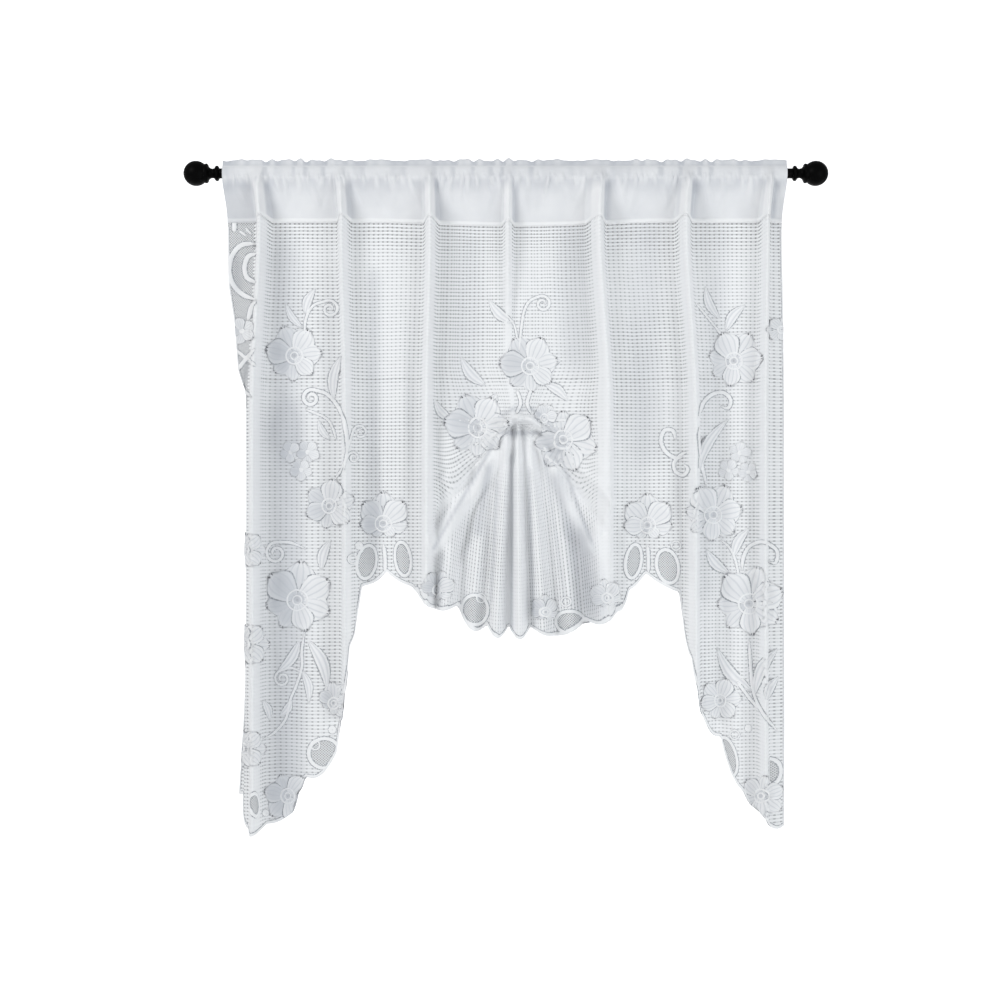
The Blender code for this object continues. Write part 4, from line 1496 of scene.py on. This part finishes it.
Cord = namedtuple("Cord", "points half_width curl side")
CORDS = (
    Cord(((-273, -224), (-272, -199), (-262, -180), (-243, -173)), 2.6, 12, 1),
    Cord(((-217, -387), (-217, -354), (-225, -323), (-242, -301), (-261, -294)), 3.4, 12, -1),
    Cord(((-230, -362), (-242, -335), (-273, -320)), 2.4, 0, 1),
    Cord(((-220, -403), (-216, -376), (-208, -349)), 2.2, 10, 1),
    Cord(((-234, -419), (-224, -403), (-215, -383)), 2.2, 8, 1),
    Cord(((-272, -510), (-292, -502), (-312, -501)), 2.9, 15, -1),
    Cord(((-273, -623), (-277, -648), (-277, -671), (-284, -695), (-293, -716), (-299, -741), (-314, -759), (-331, -769)), 2.6, 0, 1),
    Cord(((-276, -678), (-292, -672), (-307, -676)), 2.4, 11, -1),
    Cord(((3, -195), (11, -206), (16, -226)), 2.1, 0, 1),
    Cord(((15, -294), (20, -312), (14, -326)), 3.0, 0, 1),
    Cord(((34, -294), (29, -312), (34, -326)), 3.0, 0, 1),
    Cord(((18, -240), (21, -210), (25, -187), (33, -173), (46, -167)), 2.6, 11, 1),
    Cord(((230, -362), (227, -350), (216, -349), (211, -364), (218, -379), (231, -387), (241, -385)), 3.6, 0, 1),
    Cord(((246, -379), (237, -383), (228, -394), (231, -406), (242, -410), (248, -402), (242, -395)), 3.4, 0, 1),
    Cord(((258, -176), (275, -197), (288, -213), (298, -230)), 2.1, 0, 1),
    Cord(((262, -330), (269, -311), (281, -300), (296, -298), (306, -308), (302, -319), (292, -316)), 3.6, 0, 1),
    Cord(((262, -345), (264, -380), (272, -424)), 3.0, 0, 1),
    Cord(((292, -498), (302, -506), (309, -517), (314, -534), (318, -555)), 2.4, 0, 1),
    Cord(((321, -540), (323, -521), (332, -506), (351, -501), (368, -513), (366, -529), (356, -527)), 3.4, 0, 1),
    Cord(((330, -634), (332, -665), (336, -704), (350, -734), (368, -757)), 3.2, 0, 1),
    Cord(((314, -690), (330, -712), (343, -727)), 3.0, 0, 1),
    Cord(((-166, -504), (-164, -523), (-164, -542)), 3.4, 0, 1),
    Cord(((-338, -96), (-358, -97), (-371, -110), (-376, -130), (-371, -150), (-358, -164), (-340, -172)), 4.6, 0, 1),
    Cord(((-339, -109), (-350, -113), (-355, -127), (-352, -141), (-340, -149)), 4.4, 0, 1),
    Cord(((-340, -172), (-347, -184), (-350, -200)), 3.6, 0, 1),
    Cord(((-341, -238), (-356, -256), (-367, -272), (-362, -290), (-346, -304)), 3.8, 0, 1),
    Cord(((-366, -240), (-352, -252), (-340, -262)), 3.2, 0, 1),
    Cord(((-362, -78), (-352, -86)), 2.4, 0, 1),
    Cord(((-354, -74), (-345, -84)), 2.4, 0, 1),
    Cord(((-369, -64), (-369, -80)), 4.4, 0, 1),
    Cord(((193, -506), (194, -523), (194, -542)), 3.4, 0, 1),
)

Spot = namedtuple("Spot", "x z radius open")
SPOTS = (
    Spot(-209, -524, 6.1, 1),
    Spot(-259, -777, 6.1, 1),
    Spot(-34, -577, 6.1, 1),
    Spot(82, -582, 6.1, 1),
    Spot(-236, -756, 6.1, 0),
    Spot(-327, -869, 5.4, 0),
    Spot(-200, -506, 6.1, 0),
    Spot(231, -506, 6.1, 1),
    Spot(311, -763, 6.1, 1),
    Spot(329, -754, 5.4, 0),
)

Loop = namedtuple("Loop", "name x z half_x half_z tilt")
LOOPS = (
    Loop("left hem loop", -247, -788, 18, 20, 0),
    Loop("left corner loop", -341, -858, 11, 16, -20),
    Loop("left arch loop", -189, -528, 15, 23, 14),
    Loop("left arch loop two", -140, -524, 12, 23, -10),
    Loop("right arch loop", 173, -527, 12, 23, 10),
    Loop("right arch loop two", 220, -534, 15, 23, -14),
    Loop("fan loop left", -42, -593, 18, 20, 0),
    Loop("fan loop right", 88, -610, 20, 15, 5),
    Loop("right hem loop", 302, -793, 15, 27, -20),
    Loop("right corner loop", 359, -813, 12, 18, 0),
)

# %% [markdown]
# Each bloom is a few petals laid over one another, with a ring and a small boss in the middle. The
# petals' angles and sizes are listed for every kind of bloom, the back petals first.

# %% Knit the flowers
Petal = namedtuple("Petal", "turn size spread")
KINDS = {
    "wide": (
        Petal(-100, 0.86, 33),
        Petal(112, 0.90, 34),
        Petal(164, 0.84, 31),
        Petal(-148, 0.84, 30),
        Petal(58, 0.98, 34),
        Petal(-48, 1.0, 36),
        Petal(6, 1.04, 34),
    ),
    "round": (
        Petal(180, 0.84, 33),
        Petal(122, 0.92, 34),
        Petal(-122, 0.90, 34),
        Petal(62, 0.96, 34),
        Petal(-62, 0.94, 34),
        Petal(0, 1.0, 36),
    ),
    "half": (
        Petal(-140, 0.55, 32),
        Petal(140, 0.55, 32),
        Petal(-92, 0.82, 34),
        Petal(92, 0.82, 34),
        Petal(-44, 1.0, 35),
        Petal(44, 1.0, 35),
        Petal(0, 1.08, 34),
    ),
    "small": (
        Petal(144, 0.95, 36),
        Petal(-144, 0.95, 36),
        Petal(72, 1.0, 36),
        Petal(-72, 1.0, 36),
        Petal(0, 1.0, 36),
    ),
}
KNOT_SPAN = 128
KNOT_TOP = -300
PETAL_LIFT = 0.60 * MM
PETAL_PAINTED_SHADE = 0.55
PETAL_LAYER = 0.50 * MM
CORD_STEP = 3.0 * MM

flowers = Plates()
for bloom in BLOOMS:
    heart = flowers.start(bloom.x * MM, bloom.z * MM)
    size = 1.12 * bloom.size * MM
    # Painted shade for petals that point left, weaker for blooms on the right.
    left_petal_shade = PETAL_PAINTED_SHADE if bloom.x < 120 else 0.3 * PETAL_PAINTED_SHADE
    for number, row in enumerate(KINDS[bloom.kind]):
        layer = PETAL_LAYER * (number % 3)
        petal(flowers, heart, size * row.size, bloom.turn + row.turn, row.spread, layer, left_petal_shade)
    if bloom.kind == "small":
        disc(flowers, heart, 0.24 * size, 1.6 * MM)
    else:
        disc(flowers, heart, 0.27 * size, 1.3 * MM, 0.75)
        ring(flowers, heart, 0.27 * size, 2.1 * MM, 2.1 * MM)
        ring(flowers, heart, 0.12 * size, 1.7 * MM, 1.9 * MM)
lace_flowers = flowers.hang("lace_flowers")
print("flowers", len(BLOOMS), "with", len(lace_flowers.data.polygons), "faces")

# %% Knit leaves, scrolls and spots
greenery = Plates()
for row in LEAVES:
    base = greenery.start(row.x0 * MM, row.z0 * MM)
    tip = greenery.start(row.x1 * MM, row.z1 * MM)
    leaf(greenery, base, tip, row.half_width * MM, 0.8 * MM)
for row in CORDS:
    marks = [greenery.start(x * MM, z * MM) for x, z in row.points]
    line = with_curl(smooth_line(marks, CORD_STEP), row.curl * MM, row.side, CORD_STEP)
    cord(greenery, line, row.half_width * MM, 0.95 * MM)
for row in SPOTS:
    spot = greenery.start(row.x * MM, row.z * MM)
    if row.open:
        ring(greenery, spot, row.radius * MM, 1.6 * MM, 0.9 * MM)
    else:
        disc(greenery, spot, row.radius * MM, 1.0 * MM)
lace_leaves = greenery.hang("lace_leaves_and_scrolls")
print("leaves and scrolls with", len(lace_leaves.data.polygons), "faces")

# %% [markdown]
# The hem's edge is a thick corded line. It runs along every scallop and up both free sides. The oval
# loops have the same cord round them, and the sheet learns how far each of its points lies outside
# the nearest loop.

# %% Cord the loops and the edges
LOOP_CORD = 3.3 * MM
EDGE_CORD = 3.0 * MM
EDGE_STEP = 2.6 * MM

edging = Plates()
lace_seen = seen(lace_grid)
loop_distance = np.full(lace_width.shape, 1.0)
for row in LOOPS:
    on_fan = abs(row.x - 14) < KNOT_SPAN and row.z < KNOT_TOP
    heart = edging.start(row.x * MM, row.z * MM, on_fan)
    lean = math.radians(row.tilt)
    turn = np.linspace(0.0, 2.0 * math.pi, 40, endpoint=False)
    side = row.half_x * MM * np.sin(turn)
    up = row.half_z * MM * np.cos(turn)
    line = np.stack([heart[0] + side * math.cos(lean) + up * math.sin(lean),
                     heart[1] + side * math.sin(lean) - up * math.cos(lean)], axis=-1)
    cord(edging, line, LOOP_CORD, 1.0 * MM, closed=True)
    from_x = (lace_seen[..., 0] if on_fan else lace_width) - heart[0]
    from_drop = (-lace_seen[..., 1] if on_fan else lace_drop) - heart[1]
    sideways = (from_x * math.cos(lean) + from_drop * math.sin(lean)) / (row.half_x * MM)
    upward = (from_x * math.sin(lean) - from_drop * math.cos(lean)) / (row.half_z * MM)
    outside = (np.hypot(sideways, upward) - 1.0) * min(row.half_x, row.half_z) * MM
    loop_distance = np.minimum(loop_distance, outside)
strip_wave = STRIP_DROP - 10.0 * MM * np.sin(lace_drop * 30.0)
in_strip = np.maximum(lace_width - STRIP_WIDTH, lace_drop - strip_wave)
loop_distance = np.minimum(loop_distance, np.clip(in_strip, -0.5, 0.5))
store(lace, "loop", loop_distance)

edging.from_front = False
edge_widths = np.linspace(0.8 * MM, FLAT_WIDTH - 0.8 * MM, int(1.35 * FLAT_WIDTH / EDGE_STEP))
edge_hem = unlifted_hem(np.interp(edge_widths, cloth_run, fine_across)) - 0.9 * MM
hem_line = np.stack([edge_widths, edge_hem], axis=-1)
cord(edging, hem_line, EDGE_CORD, 0.9 * MM, taper=False)
for width, hem in ((1.0 * MM, edge_hem[0]), (FLAT_WIDTH - 1.0 * MM, edge_hem[-1])):
    drops = np.linspace(seam_drop(np.array([RIGHT_EDGE]))[0] + 6 * MM, hem, 260)
    cord(edging, np.stack([np.full_like(drops, width), drops], axis=-1), 1.7 * MM, 0.7 * MM, taper=False)
lace_edging = edging.hang("lace_edging")
print("loops and edges with", len(lace_edging.data.polygons), "faces")

lace_pieces = [lace_flowers, lace_leaves, lace_edging]
for item in lace_pieces:
    wear(item, dense_thread)

# %% [markdown]
# Every new piece rides with the drape and takes the place of its solid.

# %% Thicken the lace and put each piece in place of its solid
apply_modifier(lace, "SOLIDIFY", thickness=LACE_THICKNESS, offset=0.0)
for item, node, slot in (
    (lace, "lace_panel", "lace"),
    (heading, "heading_band", "band_cloth"),
    (rod, "rod", "black_metal"),
    (left_end, "finial_left", "black_metal"),
    (right_end, "finial_right", "black_metal"),
):
    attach(item, "root")
    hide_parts(node)
on_lace = []
for item in lace_pieces:
    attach(item, "root")
    on_lace.append(item)
for item in (lace, heading, *on_lace):
    print(item.name, sum(len(p.vertices) - 2 for p in item.data.polygons), "triangles")

# %% [markdown]
# The stage is a plain white paper sweep, lit like a catalogue picture. One large soft lamp stands to
# the front left, a weaker one low on the right, and the sky fills the shade, so that folds stay
# readable although everything is white. The paper behind the drape glows softly.

# %% Camera, sweep and lamps
METRES_ACROSS_VIEW = 1.3604
SENSOR = 36.0

camera_data = bpy.data.cameras.new("camera")
camera_data.sensor_width = SENSOR
camera_data.lens = SENSOR * VIEW_DISTANCE / METRES_ACROSS_VIEW
camera = bpy.data.objects.new("camera", camera_data)
camera.location = (VIEW_X, -VIEW_DISTANCE, VIEW_Z)
camera.rotation_euler = (math.pi / 2, 0.0, 0.0)
bpy.context.scene.collection.objects.link(camera)
bpy.context.scene.camera = camera

SWEEP_BACK = 3.2
SWEEP_FLOOR = -1.35
SWEEP_BEND = 0.7
SWEEP_HALF = 7.0
profile = [(-5.0, SWEEP_FLOOR)]
for turn in range(13):
    angle = QUARTER_TURN * turn / 12
    profile.append((SWEEP_BACK - SWEEP_BEND + SWEEP_BEND * math.sin(angle), SWEEP_FLOOR + SWEEP_BEND * (1 - math.cos(angle))))
profile.append((SWEEP_BACK, 4.0))
sweep_points = np.array([[(x, y, z) for y, z in profile] for x in (-SWEEP_HALF, SWEEP_HALF)])
sweep = mesh_object("sweep", sweep_points, grid_faces(2, len(profile)))
paper = Paint("white paper")
grain = paper.cloud(6.0, 2.0)
paper_colour = paper.blend(grain, tint(0.93, 0.93, 0.93), tint(0.95, 0.95, 0.95))
glow = paper.place_along("Y").step(-0.2, 0.6) * (1.0 - paper.place_along("X").abs().step(1.75, 2.4))
glow = glow * (1.0 - paper.place_along("Z").step(1.3, 1.9))
behind = paper.blend(glow, tint(0.0, 0.0, 0.0), tint(1.0, 1.0, 1.0))
wear(sweep, paper.finish(Base_Color=paper_colour, Roughness=0.95, Emission_Color=behind, Emission_Strength=0.6))


def soft_lamp(name, place, aim, size, power, colour):
    """A square soft lamp that looks at a point."""
    data = bpy.data.lights.new(name, "AREA")
    data.shape = "SQUARE"
    data.size = size
    data.energy = power
    data.color = colour
    lamp = bpy.data.objects.new(name, data)
    lamp.location = place
    lamp.rotation_euler = (Vector(aim) - Vector(place)).to_track_quat("-Z", "Y").to_euler()
    bpy.context.scene.collection.objects.link(lamp)
    return lamp


middle = (0.0, 0.0, -0.4)
soft_lamp("key lamp", (-1.9, -2.0, 1.1), middle, 0.9, 29.0, (1.0, 1.0, 1.0))
soft_lamp("fill lamp", (1.8, -2.0, -0.5), middle, 1.6, 17.5, (0.95, 0.98, 1.0))
world = bpy.data.worlds.new("pale room")
bpy.context.scene.world = world
world.use_nodes = True
world.node_tree.nodes["Background"].inputs["Color"].default_value = (0.96, 0.98, 1.0, 1.0)
world.node_tree.nodes["Background"].inputs["Strength"].default_value = 0.52
bpy.context.scene.view_settings.view_transform = "Standard"
print("camera lens", round(camera_data.lens, 2), "mm")
